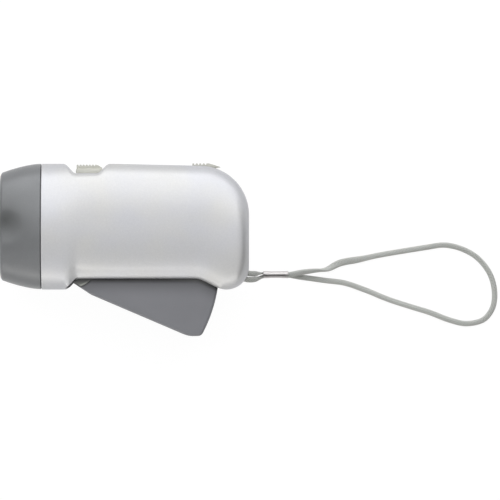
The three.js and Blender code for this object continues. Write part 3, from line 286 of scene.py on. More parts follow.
def silverPaint():
    # Flakes under a satin lacquer, which differ in brightness and tilt
    constants = {"Metallic": silver["metallic"], "Specular Tint": silver["edge"]}
    material, shade, surface = newMaterial("silver_plastic", constants)
    where = place(shade)
    flake = noise(shade, where, silver["grain"], 2, 0.6)
    drift = narrow(shade, noise(shade, where, 45, 2), 0.35, 0.65)
    colour = mixColour(shade, drift, silver["base"], silver["warm"])
    colour = mixColour(shade, narrow(shade, flake, 0.58, 0.72) * 0.35, colour, silver["spark"])
    wear = wornEdges(shade) * narrow(shade, noise(shade, where, 380, 3), 0.4, 0.64) * 0.5
    mottle = narrow(shade, noise(shade, where, 1300, 3, 0.65), 0.35, 0.65)
    colour = mixColour(shade, mottle * 0.16, colour, silver["dark"])
    smear = noise(shade, where, 130, 4, 0.6)
    colour = mixColour(shade, wear, colour, silver["worn"])
    # Painted shadow: a dark line on the lower edge where the channel starts, as in the photo
    x, y, _ = axes(shade, where)
    rise = smoothRise(shade, x, grip["start"], grip["start"] + grip["slope"])
    above = y - rise - (origin.y - grip["lobeDepth"] * mm)
    line = narrow(shade, above, *(height * mm for height in silver["shadowLineHeight"]))
    for ends in (silver["shadowLineFrom"], silver["shadowLineTo"]):
        line = line * narrow(shade, x, *(origin.x + end * mm for end in ends))
    colour = mixColour(shade, line, colour, silver["line"])
    feed(shade, surface, {
        "Base Color": colour,
        "Roughness": silver["roughness"] + flake * 0.06 + smear * 0.06,
        "Normal": bump(shade, flake, 0.000006, 0.35),
    })
    return material


leverLook = {
    "base": srgb(131, 132, 137), "disc": srgb(146, 149, 143), "rim": srgb(214, 217, 209),
    "worn": srgb(158, 159, 156), "mottle": srgb(100, 101, 104), "roughness": 0.42, "grain": 2200,
    # Painted highlight on the disc's rim and painted shade round the disc
    "rimHighlightWidth": (0.85, 0.5), "creaseShade": srgb(52, 54, 51), "creaseShadeWidth": (1.0, 0.2),
    # Painted shade and a painted shadow line under the housing's edge
    "under": srgb(44, 45, 47), "paintedShadeDepth": 9, "line": srgb(24, 24, 25), "shadowLineDepth": (2.2, 0.6),
}


def leverPlastic():
    # The hub disc is lighter, with a painted highlight on its rim and painted shade in a ring round it, as in
    # the photo
    material, shade, surface = newMaterial("lever_plastic", {"Metallic": 0.1})
    where = place(shade)
    x, y, z = axes(shade, where)
    reach = reachFrom(shade, where, pivot)

    def beyond(first, last):
        return narrow(shade, reach, (lever["disc"] + first) * mm, (lever["disc"] + last) * mm)

    cheek = [(lever["half"] + out) * mm for out in (0.1, 0.3)]
    side = narrow(shade, shade.sums("ABSOLUTE", z - origin.z), *cheek)
    disc = (1 - beyond(-0.1, 0.1)) * side
    # Painted highlight along the rim of the disc
    rim = beyond(*(-width for width in leverLook["rimHighlightWidth"])) * disc
    grain = noise(shade, where, leverLook["grain"], 4, 0.6)
    wear = wornEdges(shade) * 0.55
    colour = mixColour(shade, disc, leverLook["base"], leverLook["disc"])
    colour = mixColour(shade, rim * 0.9, colour, leverLook["rim"])
    # Painted shade in the corner round the foot of the disc
    creaseShade = beyond(*leverLook["creaseShadeWidth"]) * (1 - side)
    colour = mixColour(shade, creaseShade * 0.8, colour, leverLook["creaseShade"])
    # Painted shade and a painted shadow line under the edge of the housing, as in the photo
    lobe = smoothRise(shade, x, tail["lobeCentre"] - tail["sCurve"], tail["lobeCentre"])
    below = (origin.y - grip["depth"] * mm) - y - lobe
    under = narrow(shade, below, leverLook["paintedShadeDepth"] * mm, 0)
    line = narrow(shade, below, *(depth * mm for depth in leverLook["shadowLineDepth"]))
    colour = mixColour(shade, under * under * 0.8, colour, leverLook["under"])
    colour = mixColour(shade, line * 0.92, colour, leverLook["line"])
    mottle = narrow(shade, noise(shade, where, 90, 2), 0.3, 0.7)
    colour = mixColour(shade, mottle * 0.12, colour, leverLook["mottle"])
    feed(shade, surface, {
        "Base Color": mixColour(shade, wear, colour, leverLook["worn"]),
        "Roughness": leverLook["roughness"] + grain * 0.12 - disc * 0.08,
        "Normal": bump(shade, grain, 0.000014, 0.5),
    })
    return material


def clearPlastic():
    constants = {"Base Color": srgb(246, 250, 251), "Transmission Weight": 1.0, "IOR": 1.49}
    material, shade, surface = newMaterial("clear_plastic", constants)
    where = place(shade)
    haze = narrow(shade, noise(shade, where, 260, 3), 0.5, 0.8)
    feed(shade, surface, {
        "Roughness": haze * 0.05 + 0.02,
        "Normal": bump(shade, noise(shade, where, 80, 2), 0.00002, 0.2),
    })
    return material


# Metals: two colours, the roughness, the scales of the fine lines that drawing, turning or stacking
# would leave, along each axis, and their depth in metres
metals = {
    "bright_steel": ((206, 204, 203), (178, 176, 175), 0.2, (300, 4200, 4200), 0.000003),
    "spring_steel": ((160, 162, 166), (128, 129, 132), 0.3, (900, 3000, 3000), 0.000004),
    "core_steel": ((116, 119, 122), (92, 90, 88), 0.42, (60, 60, 2000), 0.00003),
    "copper_wire": ((184, 104, 52), (150, 78, 36), 0.28, (300, 3400, 300), 0.00003),
    "plated_reflector": ((222, 224, 226), (206, 208, 210), 0.07, (260, 260, 260), 0.000006),
}


def metal(name, base, dull, roughness, scales, depth):
    material, shade, surface = newMaterial(name, {"Metallic": 1.0})
    where = place(shade)
    stretched = shade.make("ShaderNodeVectorMath", {"operation": "MULTIPLY"}, {0: where, 1: scales})
    lines = noise(shade, stretched, 1, 3)
    stain = narrow(shade, noise(shade, where, 160, 4, 0.6), 0.45, 0.75)
    feed(shade, surface, {
        "Base Color": mixColour(shade, stain * 0.7, srgb(*base), srgb(*dull)),
        "Roughness": roughness + lines * 0.08 + stain * 0.1,
        "Normal": bump(shade, lines, depth, 0.5),
    })
    return material


for name, values in metals.items():
    materials[name] = metal(name, *values)


def laminate():
    # Green mask over copper tracks, which run square to each other
    material, shade, surface = newMaterial("board_laminate", {})
    where = place(shade)
    tracks = shade.make("ShaderNodeTexBrick", {"offset": 0.5}, {
        "Vector": where, "Scale": 260.0, "Mortar Size": 0.06, "Mortar Smooth": 0.2,
    }, "Fac")
    grain = noise(shade, where, 1400, 3)
    feed(shade, surface, {
        "Base Color": mixColour(shade, tracks * 0.7, srgb(47, 107, 69), srgb(74, 138, 84)),
        "Roughness": 0.36 + grain * 0.16,
        "Normal": bump(shade, tracks + grain * 0.2, 0.00003, 0.6),
    })
    return material


def braid():
    # Dull yarn: lighter where the yarns ride high, with painted shade in the crevices
    constants = {"Sheen Weight": 0.25, "Sheen Roughness": 0.5, "Specular IOR Level": 0.25}
    material, shade, surface = newMaterial("strap_braid", constants)
    where = place(shade)
    height = shade.make("ShaderNodeAttribute", {"attribute_name": "yarn"}, out="Fac")
    ridge = narrow(shade, height, 0.2, 0.85)
    drift = narrow(shade, noise(shade, where, 55, 2), 0.35, 0.65)
    fibre = noise(shade, where, 5200, 3, 0.6)
    # Painted shade: the colour runs from dark in the crevices to light where the yarns ride high
    colour = mixColour(shade, ridge, srgb(60, 63, 59), srgb(250, 252, 248))
    colour = mixColour(shade, drift * 0.2, colour, srgb(196, 199, 195))
    colour = mixColour(shade, narrow(shade, fibre, 0.5, 0.75) * 0.3, colour, srgb(238, 240, 236))
    feed(shade, surface, {
        "Base Color": colour,
        "Roughness": 0.75 + fibre * 0.2,
        "Normal": bump(shade, fibre, 0.00003, 0.5),
    })
    return material


# Painted light and shade across the ferrule from its lower edge up: a darker lower edge, a dark seam line and
# a painted highlight line above it, as in the photo
ferrulePaintedLight = [
    (0.0, srgb(150, 146, 146)), (0.12, srgb(172, 168, 168)), (0.28, srgb(196, 192, 191)),
    (0.40, srgb(192, 188, 187)), (0.455, srgb(104, 99, 99)), (0.51, srgb(248, 246, 245)),
    (0.60, srgb(246, 243, 242)), (0.68, srgb(190, 187, 187)), (0.86, srgb(196, 193, 193)),
    (1.0, srgb(206, 203, 203)),
]


def ferruleSteel(middle, halfWidth):
    material, shade, surface = newMaterial("ferrule_steel", {"Metallic": 1.0})
    where = place(shade)
    low = origin.y + (middle - halfWidth) * mm
    across = narrow(shade, axes(shade, where)[1], low, low + 2 * halfWidth * mm)
    paintedLight = shade.make("ShaderNodeValToRGB", {"stops": ferrulePaintedLight}, {0: across})
    scratches = noise(shade, where, 2400, 3)
    stain = narrow(shade, noise(shade, where, 420, 3), 0.45, 0.75)
    feed(shade, surface, {
        "Base Color": mixColour(shade, stain * 0.18, paintedLight, srgb(168, 165, 164)),
        "Roughness": 0.24 + scratches * 0.1,
        "Normal": bump(shade, scratches, 0.000003, 0.4),
    })
    return material


materials["clear_plastic"] = clearPlastic()
materials["board_laminate"] = laminate()
materials["strap_braid"] = braid()
print("materials ready")


# Mesh helpers: each piece is drawn in the torch's millimetres and moved to its place at the end

def addLoft(mesh, rings, joined=False, capped=False):
    rows = [[mesh.verts.new(point) for point in ring] for ring in rings]
    count = len(rows[0])
    pairs = list(zip(rows, rows[1:])) + ([(rows[-1], rows[0])] if joined else [])
    for first, second in pairs:
        for i in range(count):
            j = (i + 1) % count
            mesh.faces.new((first[i], first[j], second[j], second[i]))
    if capped:
        mesh.faces.new(rows[0])
        mesh.faces.new(rows[-1])
    return rows


def addPrism(mesh, outline, low, high):
    addLoft(mesh, [[(x, y, z) for x, y in outline] for z in (low, high)], capped=True)


def roundEdges(mesh, width, segments=2, angle=30):
    bmesh.ops.recalc_face_normals(mesh, faces=mesh.faces)
    sharp = [edge for edge in mesh.edges
             if len(edge.link_faces) == 2 and edge.calc_face_angle(0) > math.radians(angle)]
    bmesh.ops.bevel(mesh, geom=sharp, offset=width, segments=segments, profile=0.5,
                    affect="EDGES", clamp_overlap=True)


def carved(mesh, tool):
    # The shape of mesh without the shape of tool
    objects = []
    for part in (mesh, tool):
        bmesh.ops.recalc_face_normals(part, faces=part.faces)
        data = bpy.data.meshes.new("carving")
        part.to_mesh(data)
        part.free()
        objects.append(addObject("carving", data))
    modifier = objects[0].modifiers.new("carve", "BOOLEAN")
    modifier.operation = "DIFFERENCE"
    modifier.solver = "EXACT"
    modifier.object = objects[1]
    bpy.context.view_layer.update()
    result = bmesh.new()
    result.from_mesh(objects[0].evaluated_get(bpy.context.evaluated_depsgraph_get()).data)
    for carving in objects:
        data = carving.data
        bpy.data.objects.remove(carving)
        bpy.data.meshes.remove(data)
    return result


def addTo(mesh, part):
    data = bpy.data.meshes.new("part")
    part.to_mesh(data)
    part.free()
    mesh.from_mesh(data)
    bpy.data.meshes.remove(data)


def addPiece(mesh, name, look, nodes, body="housing", sharp=38):
    bmesh.ops.recalc_face_normals(mesh, faces=mesh.faces)
    bmesh.ops.transform(mesh, matrix=toRow, verts=mesh.verts)
    data = bpy.data.meshes.new(name)
    mesh.to_mesh(data)
    mesh.free()
    data.shade_smooth()
    data.set_sharp_from_angle(angle=math.radians(sharp))
    data.materials.append(materials[look])
    piece = addObject(name, data)
    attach(piece, body)
    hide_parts(*nodes)
    print("made", name)
    return piece


# Strap: a flat tubular braid that runs round in a loop and back into its metal ferrule

strap = {
    "halfWidth": 1.2, "halfThickness": 0.85, "rings": 1500, "columns": 32,
    "yarns": 4, "pitch": 5.6, "relief": 0.24, "table": -21.97,
    "widens": (0.07, 0.11), "slims": (0.16, 0.2), "extraWidth": 0.32, "lostThickness": 0.1,
    "nip": 0.3, "nipShare": 0.02, "turnsOver": (0.04, 0.16), "sway": 0.25, "swayShares": 19,
}
strapRoute = [
    (119.3, -20.3, -7.89), (122.7, -20.2, -10), (127.2, -19.35, -13.3), (132.4, -18.7, -17.6),
    (137.9, -18.1, -20.2), (143.6, -15.4, -20.85), (151.8, -13.85, -20.85), (160, -12.1, -20.85),
    (170.5, -10.3, -20.85), (180.3, -8.75, -20.85), (187.6, -7.8, -20.85), (194.8, -9.3, -20.85),
    (201.6, -13.1, -20.85), (206.9, -19.7, -20.85), (209, -27, -20.85), (208.3, -34.2, -20.85),
    (204.5, -39.3, -20.85), (197.3, -41.1, -20.85), (190, -39.6, -20.85), (181.6, -36.4, -20.85),
    (173.1, -33.8, -20.85), (163.4, -30.6, -20.85), (154.6, -27, -20.85), (145.5, -23.9, -20.85),
    (137.9, -22.9, -20.7), (131.4, -22, -18.9), (126.4, -21.3, -15.5), (121.6, -20.45, -11.9),
    (118.1, -20.3, -9.72),
]


def smoothPath(points, count):
    # A centripetal Catmull-Rom curve through the points, sampled at equal distances
    knots = [Vector(point) for point in points]
    knots = [knots[0] * 2 - knots[1], *knots, knots[-1] * 2 - knots[-2]]
    dense = []
    for a, b, c, d in zip(knots, knots[1:], knots[2:], knots[3:]):
        t1 = (b - a).length ** 0.5
        t2 = t1 + (c - b).length ** 0.5
        t3 = t2 + (d - c).length ** 0.5
        for share in steps(0, 1, 24)[:-1]:
            t = blendTo(t1, t2, share)
            ab = a * ((t1 - t) / t1) + b * (t / t1)
            bc = b * ((t2 - t) / (t2 - t1)) + c * ((t - t1) / (t2 - t1))
            cd = c * ((t3 - t) / (t3 - t2)) + d * ((t - t2) / (t3 - t2))
            abc = ab * ((t2 - t) / t2) + bc * (t / t2)
            bcd = bc * ((t3 - t) / (t3 - t1)) + cd * ((t - t1) / (t3 - t1))
            dense.append(abc * ((t2 - t) / (t2 - t1)) + bcd * ((t - t1) / (t2 - t1)))
    dense.append(knots[-2])
    line = np.array(dense)
    reach = np.concatenate([[0], np.cumsum(np.linalg.norm(np.diff(line, axis=0), axis=1))])
    wanted = np.linspace(0, reach[-1], count)
    even = np.stack([np.interp(wanted, reach, line[:, axis]) for axis in range(3)], axis=1)
    return [Vector(point) for point in even], reach[-1]


def yarnHeight(angle, along, yarns, pitch):
    # Two sets of yarns wind opposite ways; where they cross, each in turn rides on top
    share = along / pitch
    left = yarns * (angle / (2 * math.pi) + share)
    right = yarns * (angle / (2 * math.pi) - share)
    over = math.cos(math.pi * left) * math.cos(math.pi * right)
    hump = blendTo(abs(math.sin(math.pi * right)), abs(math.sin(math.pi * left)), ease(over, -0.12, 0.12))
    return hump ** 0.6 * (0.55 + 0.45 * abs(over))


def braidedTube(mesh, path, length, look, side, halfWidthAt, halfThicknessAt, twistAt):
    rings, heights = [], []
    previous = side
    count = len(path)
    for index, point in enumerate(path):
        ahead = (path[min(index + 1, count - 1)] - path[max(index - 1, 0)]).normalized()
        previous = (previous - ahead * previous.dot(ahead)).normalized()
        up = ahead.cross(previous)
        share = index / (count - 1)
        turned = Matrix.Rotation(twistAt(share), 3, ahead)
        wide, thin = turned @ previous, turned @ up
        ring = []
        for column in range(look["columns"]):
            angle = 2 * math.pi * (column + 0.5) / look["columns"]
            height = yarnHeight(angle, share * length, look["yarns"], look["pitch"])
            heights.append(height)
            lift = look["relief"] * (height - 0.7)
            across = math.copysign(abs(math.cos(angle)) ** 0.86, math.cos(angle))
            spot = point + wide * across * (halfWidthAt(share) + lift)
            spot += thin * math.sin(angle) * (halfThicknessAt(share) + lift)
            # No part of the braid goes below the table
            spot.z = max(spot.z, strap["table"])
            ring.append(spot)
        rings.append(ring)
    addLoft(mesh, rings, capped=True)
    return heights


def keepHeights(piece, heights):
    piece.data.attributes.new("yarn", "FLOAT", "POINT").data.foreach_set("value", heights)


def wristStrap():
    path, length = smoothPath(strapRoute, strap["rings"])
    mesh = bmesh.new()

    def spread(share):
        # The upper leg is spread wide where it turns over near the ferrule; both ends are nipped
        wide = between(share, strap["widens"], strap["slims"])
        free = between(share, (0, strap["nipShare"]), (1 - strap["nipShare"], 1))
        return wide, 1 - strap["nip"] * (1 - free)

    def halfWidthAt(share):
        wide, nip = spread(share)
        return (strap["halfWidth"] + strap["extraWidth"] * wide) * nip

    def halfThicknessAt(share):
        wide, nip = spread(share)
        return (strap["halfThickness"] - strap["lostThickness"] * wide) * nip

    def twistAt(share):
        sway = strap["sway"] * math.sin(share * strap["swayShares"])
        return math.pi * ease(share, *strap["turnsOver"]) + sway

    heights = braidedTube(mesh, path, length, strap, Vector((0, 1, 0)), halfWidthAt, halfThicknessAt,
                          twistAt)
    piece = addPiece(mesh, "wrist_strap_braid", "strap_braid", ["wrist_strap"], sharp=180)
    keepHeights(piece, heights)
    line = [toRow @ point for point in path[::5] + path[-1:]]
    return piece, line, length * mm


eye = {
    "halfWidth": 1.0, "halfThickness": 1.2, "thin": 0.5, "rings": 300, "columns": 32,
    "yarns": 4, "pitch": 5.0, "relief": 0.22, "gripped": 2.0,
    "slack": [((0.13, 0.24), (0.36, 0.46)), ((0.54, 0.64), (0.76, 0.87))], "free": ((0.08, 0.2), (0.8, 0.92)),
}
eyeRoute = [
    (114.1, -19.75, -5.93), (111, -19.7, -4), (109.2, -19.75, -3.1), (107, -19.9, -2), (104.6, -19.7, -0.9),
    (102.4, -18.7, -0.2), (100.9, -18.62, 0), (99.95, -19.25, 0), (99.8, -20.1, 0), (100.5, -20.95, 0),
    (102.2, -21.8, -0.3), (104.4, -22.4, -1), (106.8, -22.4, -2.1), (109, -21.85, -3.1), (111, -21.1, -4),
    (114.1, -20.85, -5.93),
]
ferrule = {
    "start": Vector((111, -20.3, -4)), "end": Vector((121.6, -20.3, -10.6)), "inner": 1.15,
    "straight": 1.08, "wall": 0.36, "flare": 0.09, "dent": 0.1, "edge": 0.12, "columns": 56,
    "crimp": ((0.2, 0.3), (0.7, 0.8)), "seamDepth": 0.2, "seamAngle": 344, "seamWidth": 8,
}


def strapEye():
    # The braid is squeezed flat where it goes round its pin and where the ferrule grips it
    path, length = smoothPath(eyeRoute, eye["rings"])

    def halfThicknessAt(share):
        slack = sum(between(share, *shares) for shares in eye["slack"])
        return blendTo(eye["thin"], eye["halfThickness"], slack)

    def halfWidthAt(share):
        return blendTo(eye["gripped"], eye["halfWidth"], between(share, *eye["free"]))

    mesh = bmesh.new()
    heights = braidedTube(mesh, path, length, eye, Vector((0, 0, 1)), halfWidthAt, halfThicknessAt,
                          lambda share: 0.0)
    piece = addPiece(mesh, "strap_eye_braid", "strap_braid", ["strap_eye"], sharp=180)
    keepHeights(piece, heights)
    return piece


def strapFerrule():
    # A strip of bright metal folded round both strands, its ends meeting in a seam, and crimped
    axis = ferrule["end"] - ferrule["start"]
    length = axis.length
    ahead = axis.normalized()
    up = Vector((0, 1, 0))
    wide = Vector((0, 0, 1)) / ahead.x
    inner, edge, deep = ferrule["inner"], ferrule["edge"], ferrule["seamDepth"]

    def ringAt(along, radius, seamDepth=0):
        share = along / length
        flare = ferrule["flare"] * (1 - ease(share, 0, 0.1) + ease(share, 0.9, 1))
        crimp = ferrule["dent"] * between(share, *ferrule["crimp"])
        ring = []
        for angle in turns(ferrule["columns"]):
            toWide, toUp = math.cos(angle), math.sin(angle)
            fromSeam = abs(math.degrees(angle) - ferrule["seamAngle"]) / ferrule["seamWidth"]
            reach = radius + flare - crimp * abs(toUp) ** 2 - seamDepth * max(0, 1 - fromSeam)
            offset = wide * (math.copysign(ferrule["straight"], toWide) * min(1, abs(toWide) * 3)
                             + toWide * reach) + up * toUp * reach
            ring.append(ferrule["start"] + ahead * along + offset)
        return ring

    outer = inner + ferrule["wall"]
    rings = [ringAt(edge * 0.3, outer - edge * 0.7), ringAt(edge, outer, deep)]
    rings += [ringAt(along, outer, deep) for along in steps(0.6, length - 0.6, 24)]
    rings += [ringAt(length - edge, outer, deep), ringAt(length - edge * 0.3, outer - edge * 0.7)]
    rings += [ringAt(length, outer - edge * 1.6), ringAt(length, inner)]
    rings += [ringAt(0, inner), ringAt(0, outer - edge * 1.6)]
    mesh = bmesh.new()
    addLoft(mesh, rings, joined=True)
    piece = addPiece(mesh, "strap_ferrule_crimp", "bright_steel", ["strap_ferrule"], sharp=50)
    piece.data.materials[0] = ferruleSteel(ferrule["start"].y, outer + ferrule["flare"])
    return piece


eyePiece = strapEye()
ferrulePiece = strapFerrule()
strapPiece, strapLine, strapLength = wristStrap()
print("strap ready, length in metres:", round(strapLength, 4))


# Housing: two half shells with a lever channel underneath, pockets for both sliders on top,
# and a window for the strap at the lower corner of the tail

torch = {"length": 105.0, "headLength": 17.3, "halfHeight": 26.45, "halfThickness": 22.0, "wall": 2.0}
# Powers of the rounded section: the first crowns the sides, the second squares the top and the bottom
section = {"front": (2.12, 2.8), "grip": (2.3, 4.6), "settles": 20.0, "settled": 41.0}
recess = {"start": 26.8, "flatStart": 31.9, "flatEnd": 41.0, "end": 46.4, "floor": 22.4, "soft": 3.4}
grip = {"start": 27.3, "slope": 6.4, "depth": 21.9, "lobeDepth": 26.6, "tailHeight": 25.6}
tail = {"start": 84.3, "topRadius": 20.7, "lobeCentre": 95.4, "bottomRadius": 9.6,
        "edgeRadius": 5.6, "sCurve": 13.4}
shell = {
    "seam": 0.15, "slotFront": 29.2, "slotRear": 92.3, "slotHalf": 12.35, "eyeFront": 100.05, "eyeHalf": 2.8,
    "hubRoom": 0.5, "hubFrom": (29.3, 29.8), "hubTo": (38.9, 39.4), "pocketWall": 1.7, "pocketEdge": 0.15,
    "lip": 5.0, "lipStart": 26.5, "lipEnd": 95.5, "edge": 0.28, "roll": (0.13, 0.04, 0), "rimBevel": 0.3,
    "frontRoll": (0.42, 0.2, 0.06, 0), "front": 17.6, "frontSteps": (0, 0.05, 0.19, 0.44, 1),
    "settled": 19.2, "stations": 84, "sideColumns": 64, "shoulder": 1.8, "seamSteps": (0, 0.02, 0.09),
    "columns": (0.9, 1.6, 2.2, 2.8, 3.5, 4.2, 4.35, 4.8, 5.2, 5.35, 6.2, 7.2, 8.4, 9.6, 10.8, 11.7),
}
pockets = [
    {"front": 27.7, "rear": 43.7, "half": 5.35, "floor": 22.4},
    {"front": 76.75, "rear": 106.0, "half": 4.35, "floor": 24.3},
]
stemSlots = [(31.85, 39.55, 1.6), (80.15, 87.85, 1.6)]
materials["silver_plastic"] = silverPaint()


def fall(x, start, radius):
    past = clamp(x - start, 0, radius)
    return radius - math.sqrt(max(radius ** 2 - past ** 2, 0))


def ridgeAt(x):
    share = (clamp(x, recess["end"], tail["start"]) - recess["end"]) / (tail["start"] - recess["end"])
    return blendTo(torch["halfHeight"], grip["tailHeight"], share) - fall(x, tail["start"], tail["topRadius"])


def topAt(x):
    dip = between(x, (recess["start"], recess["flatStart"]), (recess["flatEnd"], recess["end"]))
    return blendTo(ridgeAt(x), recess["floor"], dip)


def bottomAt(x):
    rise = between(x, (grip["start"], grip["start"] + grip["slope"]),
                   (tail["lobeCentre"] - tail["sCurve"], tail["lobeCentre"]))
    belly = -grip["lobeDepth"] + rise * (grip["lobeDepth"] - grip["depth"])
    return belly + fall(x, tail["lobeCentre"], tail["bottomRadius"])


def halfWidthAt(x):
    return torch["halfThickness"] - fall(x, torch["length"] - tail["edgeRadius"], tail["edgeRadius"])


def powersAt(x):
    settled = ease(x, section["settles"], section["settled"])
    return [blendTo(front, rear, settled) for front, rear in zip(section["front"], section["grip"])]


def ringPoint(x, top, bottom, halfWidth, angle, powers=section["front"]):
    # A soft-cornered oblong
    def bent(value, power):
        return math.copysign(abs(value) ** (2 / power), value)
    height = (top + bottom) / 2 + bent(math.cos(angle), powers[0]) * (top - bottom) / 2
    return Vector((x, height, bent(math.sin(angle), powers[1]) * halfWidth))


def sunk(point):
    # The recess is cut straight across the top, with a soft edge
    floor = topAt(point.x)
    soft = min(recess["soft"], ridgeAt(point.x) - floor)
    if soft < 0.001:
        return point
    near = max(soft - abs(point.y - floor), 0) / soft
    return Vector((point.x, min(point.y, floor) - near * near * soft / 4, point.z))


def lipped(point):
    # The rim along the lever channel hangs as low as the belly would without the channel
    share = between(point.x, (shell["lipStart"], shell["slotFront"]), (shell["slotRear"], shell["lipEnd"]))
    if point.y < 0:
        share *= ease(shell["slotHalf"] + shell["lip"] - point.z, 0, shell["lip"] - 0.5)
        point.y = blendTo(point.y, bottomAt(point.x), share)
    return point


def shellStations():
    stations = [shell["front"] + step for step in shell["frontSteps"]]
    for pocket in pockets:
        stations += [pocket["front"], pocket["front"] + shell["pocketEdge"]]
        if pocket["rear"] < torch["length"]:
            stations += [pocket["rear"] - shell["pocketEdge"], pocket["rear"]]
    stations += [x for front, rear, _ in stemSlots for x in (front, rear)]
    stations += [shell["slotFront"], shell["slotRear"], shell["eyeFront"]]
    flatEnd = torch["length"] - tail["edgeRadius"]
    stations += [flatEnd + tail["edgeRadius"] * math.sin(math.radians(angle)) for angle in range(0, 91, 9)]
    regular = steps(shell["settled"], flatEnd, shell["stations"])
    stations += [x for x in regular if min(abs(x - other) for other in stations) > 0.3]
    return sorted(set(round(x, 4) for x in stations))


def shellAngles(x, fixedZ):
    top, bottom, halfWidth, powers = ridgeAt(x), bottomAt(x), halfWidthAt(x), powersAt(x)
    near = [math.asin(min(1, (z / halfWidth) ** (powers[1] / 2))) for z in fixedZ]
    dense = np.linspace(near[-1], math.pi - near[-1], 400)
    points = np.array([ringPoint(x, top, bottom, halfWidth, angle, powers) for angle in dense])
    # Columns stand closer together towards the top and the bottom, where the sides turn over
    height = np.abs(points[1:, 1] - (top + bottom) / 2) * 2 / (top - bottom)
    weight = 1 + shell["shoulder"] * np.clip((height - 0.6) / 0.2, 0, 1)
    reach = np.concatenate([[0], np.cumsum(np.linalg.norm(np.diff(points, axis=0), axis=1) * weight)])
    wanted = np.linspace(0, reach[-1], shell["sideColumns"] + 1)[1:-1]
    middle = list(np.interp(wanted, reach, dense))
    return near + middle + [math.pi - angle for angle in reversed(near)]


def housingGrid():
    stations = shellStations()
    fixedZ = [shell["seam"] + step for step in (*shell["seamSteps"], shell["edge"])]
    grid = []
    for x in stations:
        # The channel is a little wider beside the hub disc of the lever
        rim = shell["slotHalf"] + shell["hubRoom"] * between(x, shell["hubFrom"], shell["hubTo"])
        columns = [*fixedZ, *shell["columns"], rim]
        size = (ridgeAt(x), bottomAt(x), halfWidthAt(x))
        powers = powersAt(x)
        grid.append([lipped(sunk(ringPoint(x, *size, angle, powers))) for angle in shellAngles(x, columns)])
    rows, count = len(grid), len(grid[0])
    outward = []
    for i in range(rows):
        line = []
        for j in range(count):
            along = grid[min(i + 1, rows - 1)][j] - grid[max(i - 1, 0)][j]
            across = grid[i][min(j + 1, count - 1)] - grid[i][max(j - 1, 0)]
            normal = across.cross(along).normalized()
            line.append(Vector((1, 0, 0)) if i == rows - 1 else normal)
        outward.append(line)
    # The seam edges and the edge beside the head are rolled in
    roll, frontRoll = (shell["edge"], *shell["roll"]), shell["frontRoll"]
    for i in range(rows):
        for j in range(count):
            fromSeam = min(j, count - 1 - j)
            inset = max(roll[min(fromSeam, 3)], frontRoll[min(i, 3)])
            if fromSeam < 4:
                outward[i][j].z = 0
                outward[i][j].normalize()
            grid[i][j] -= outward[i][j] * inset
    inner = [[grid[i][j] - outward[i][j] * torch["wall"] for j in range(count)] for i in range(rows)]
    for i, x in enumerate(stations):
        for j in range(count // 2):
            for pocket in pockets:
                if pocket["front"] < x < pocket["rear"] and grid[i][j].z < pocket["half"] - 0.1:
                    grid[i][j].y = min(grid[i][j].y, pocket["floor"])
                    inner[i][j].y = min(inner[i][j].y, pocket["floor"] - shell["pocketWall"])
    return stations, grid, inner


def isOpen(x, z, onTop):
    if onTop:
        return any(front < x < rear and z < half for front, rear, half in stemSlots)
    if shell["slotFront"] < x < shell["slotRear"] and z < shell["slotHalf"] - 0.1:
        return True
    return x > shell["eyeFront"] and z < shell["eyeHalf"]


def housingHalf(name, sign, node, extras=None):
    stations, grid, inner = housingGrid()
    rows, count = len(grid), len(grid[0])
    mesh = bmesh.new()
    flip = Vector((1, 1, sign))
    outerVerts = [[mesh.verts.new(point * flip) for point in row] for row in grid]
    innerVerts = [[mesh.verts.new(point * flip) for point in row] for row in inner]
    cells = []
    for i in range(rows - 1):
        for j in range(count - 1):
            middle = (grid[i][j] + grid[i + 1][j + 1]) / 2
            x = (stations[i] + stations[i + 1]) / 2
            if not isOpen(x, middle.z, j < count / 2):
                cells.append(((i, j), (i, j + 1), (i + 1, j + 1), (i + 1, j)))
    last = rows - 1
    for j in range(count // 2 - 1):
        mirror = count - 1 - j
        cells.append(((last, j), (last, j + 1), (last, mirror - 1), (last, mirror)))
    edges = {}
    for cell in cells:
        mesh.faces.new([outerVerts[i][j] for i, j in cell])
        mesh.faces.new([innerVerts[i][j] for i, j in reversed(cell)])
        for first, second in zip(cell, cell[1:] + cell[:1]):
            key = tuple(sorted((first, second)))
            edges[key] = edges.get(key, 0) + 1
    rims = []
    for (first, second), uses in edges.items():
        if uses == 1:
            (i, j), (k, m) = first, second
            wall = (outerVerts[i][j], outerVerts[k][m], innerVerts[k][m], innerVerts[i][j])
            mesh.faces.new(wall)
            onSeam = {j, m} <= {0, count - 1}
            onTop = max(j, m) < count / 2
            if not onSeam and not onTop and not i == k == 0:
                rims.append((outerVerts[i][j], outerVerts[k][m]))
    bmesh.ops.recalc_face_normals(mesh, faces=mesh.faces)
    rimEdges = [mesh.edges.get(pair) for pair in rims]
    bmesh.ops.bevel(mesh, geom=rimEdges, offset=shell["rimBevel"], segments=2, profile=0.5,
                    affect="EDGES", clamp_overlap=True)
    mesh = extras(mesh) if extras else mesh
    return addPiece(mesh, name, "silver_plastic", [node])


screws = {"centres": [(23.5, 19.4), (22.6, -20.4), (98.5, -11.0), (66.5, 20.3)], "well": 2.25,
          "chamfer": 0.35, "flare": 1.5, "floor": 15.5, "under": 14.2, "post": 3.5, "hole": 1.1,
          "sunk": 1.1, "outside": 26}


def sideAt(x, y):
    top, bottom = ridgeAt(x), bottomAt(x)
    first, second = powersAt(x)
    share = abs(2 * y - top - bottom) / (top - bottom)
    return halfWidthAt(x) * (1 - share ** first) ** (1 / second)


def addRound(mesh, centre, profile, joined=False):
    # The profile holds pairs of a radius and a depth along Z
    addLoft(mesh, [[(*around(centre, radius, angle), z) for angle in turns(40)] for radius, z in profile],
            joined, not joined)


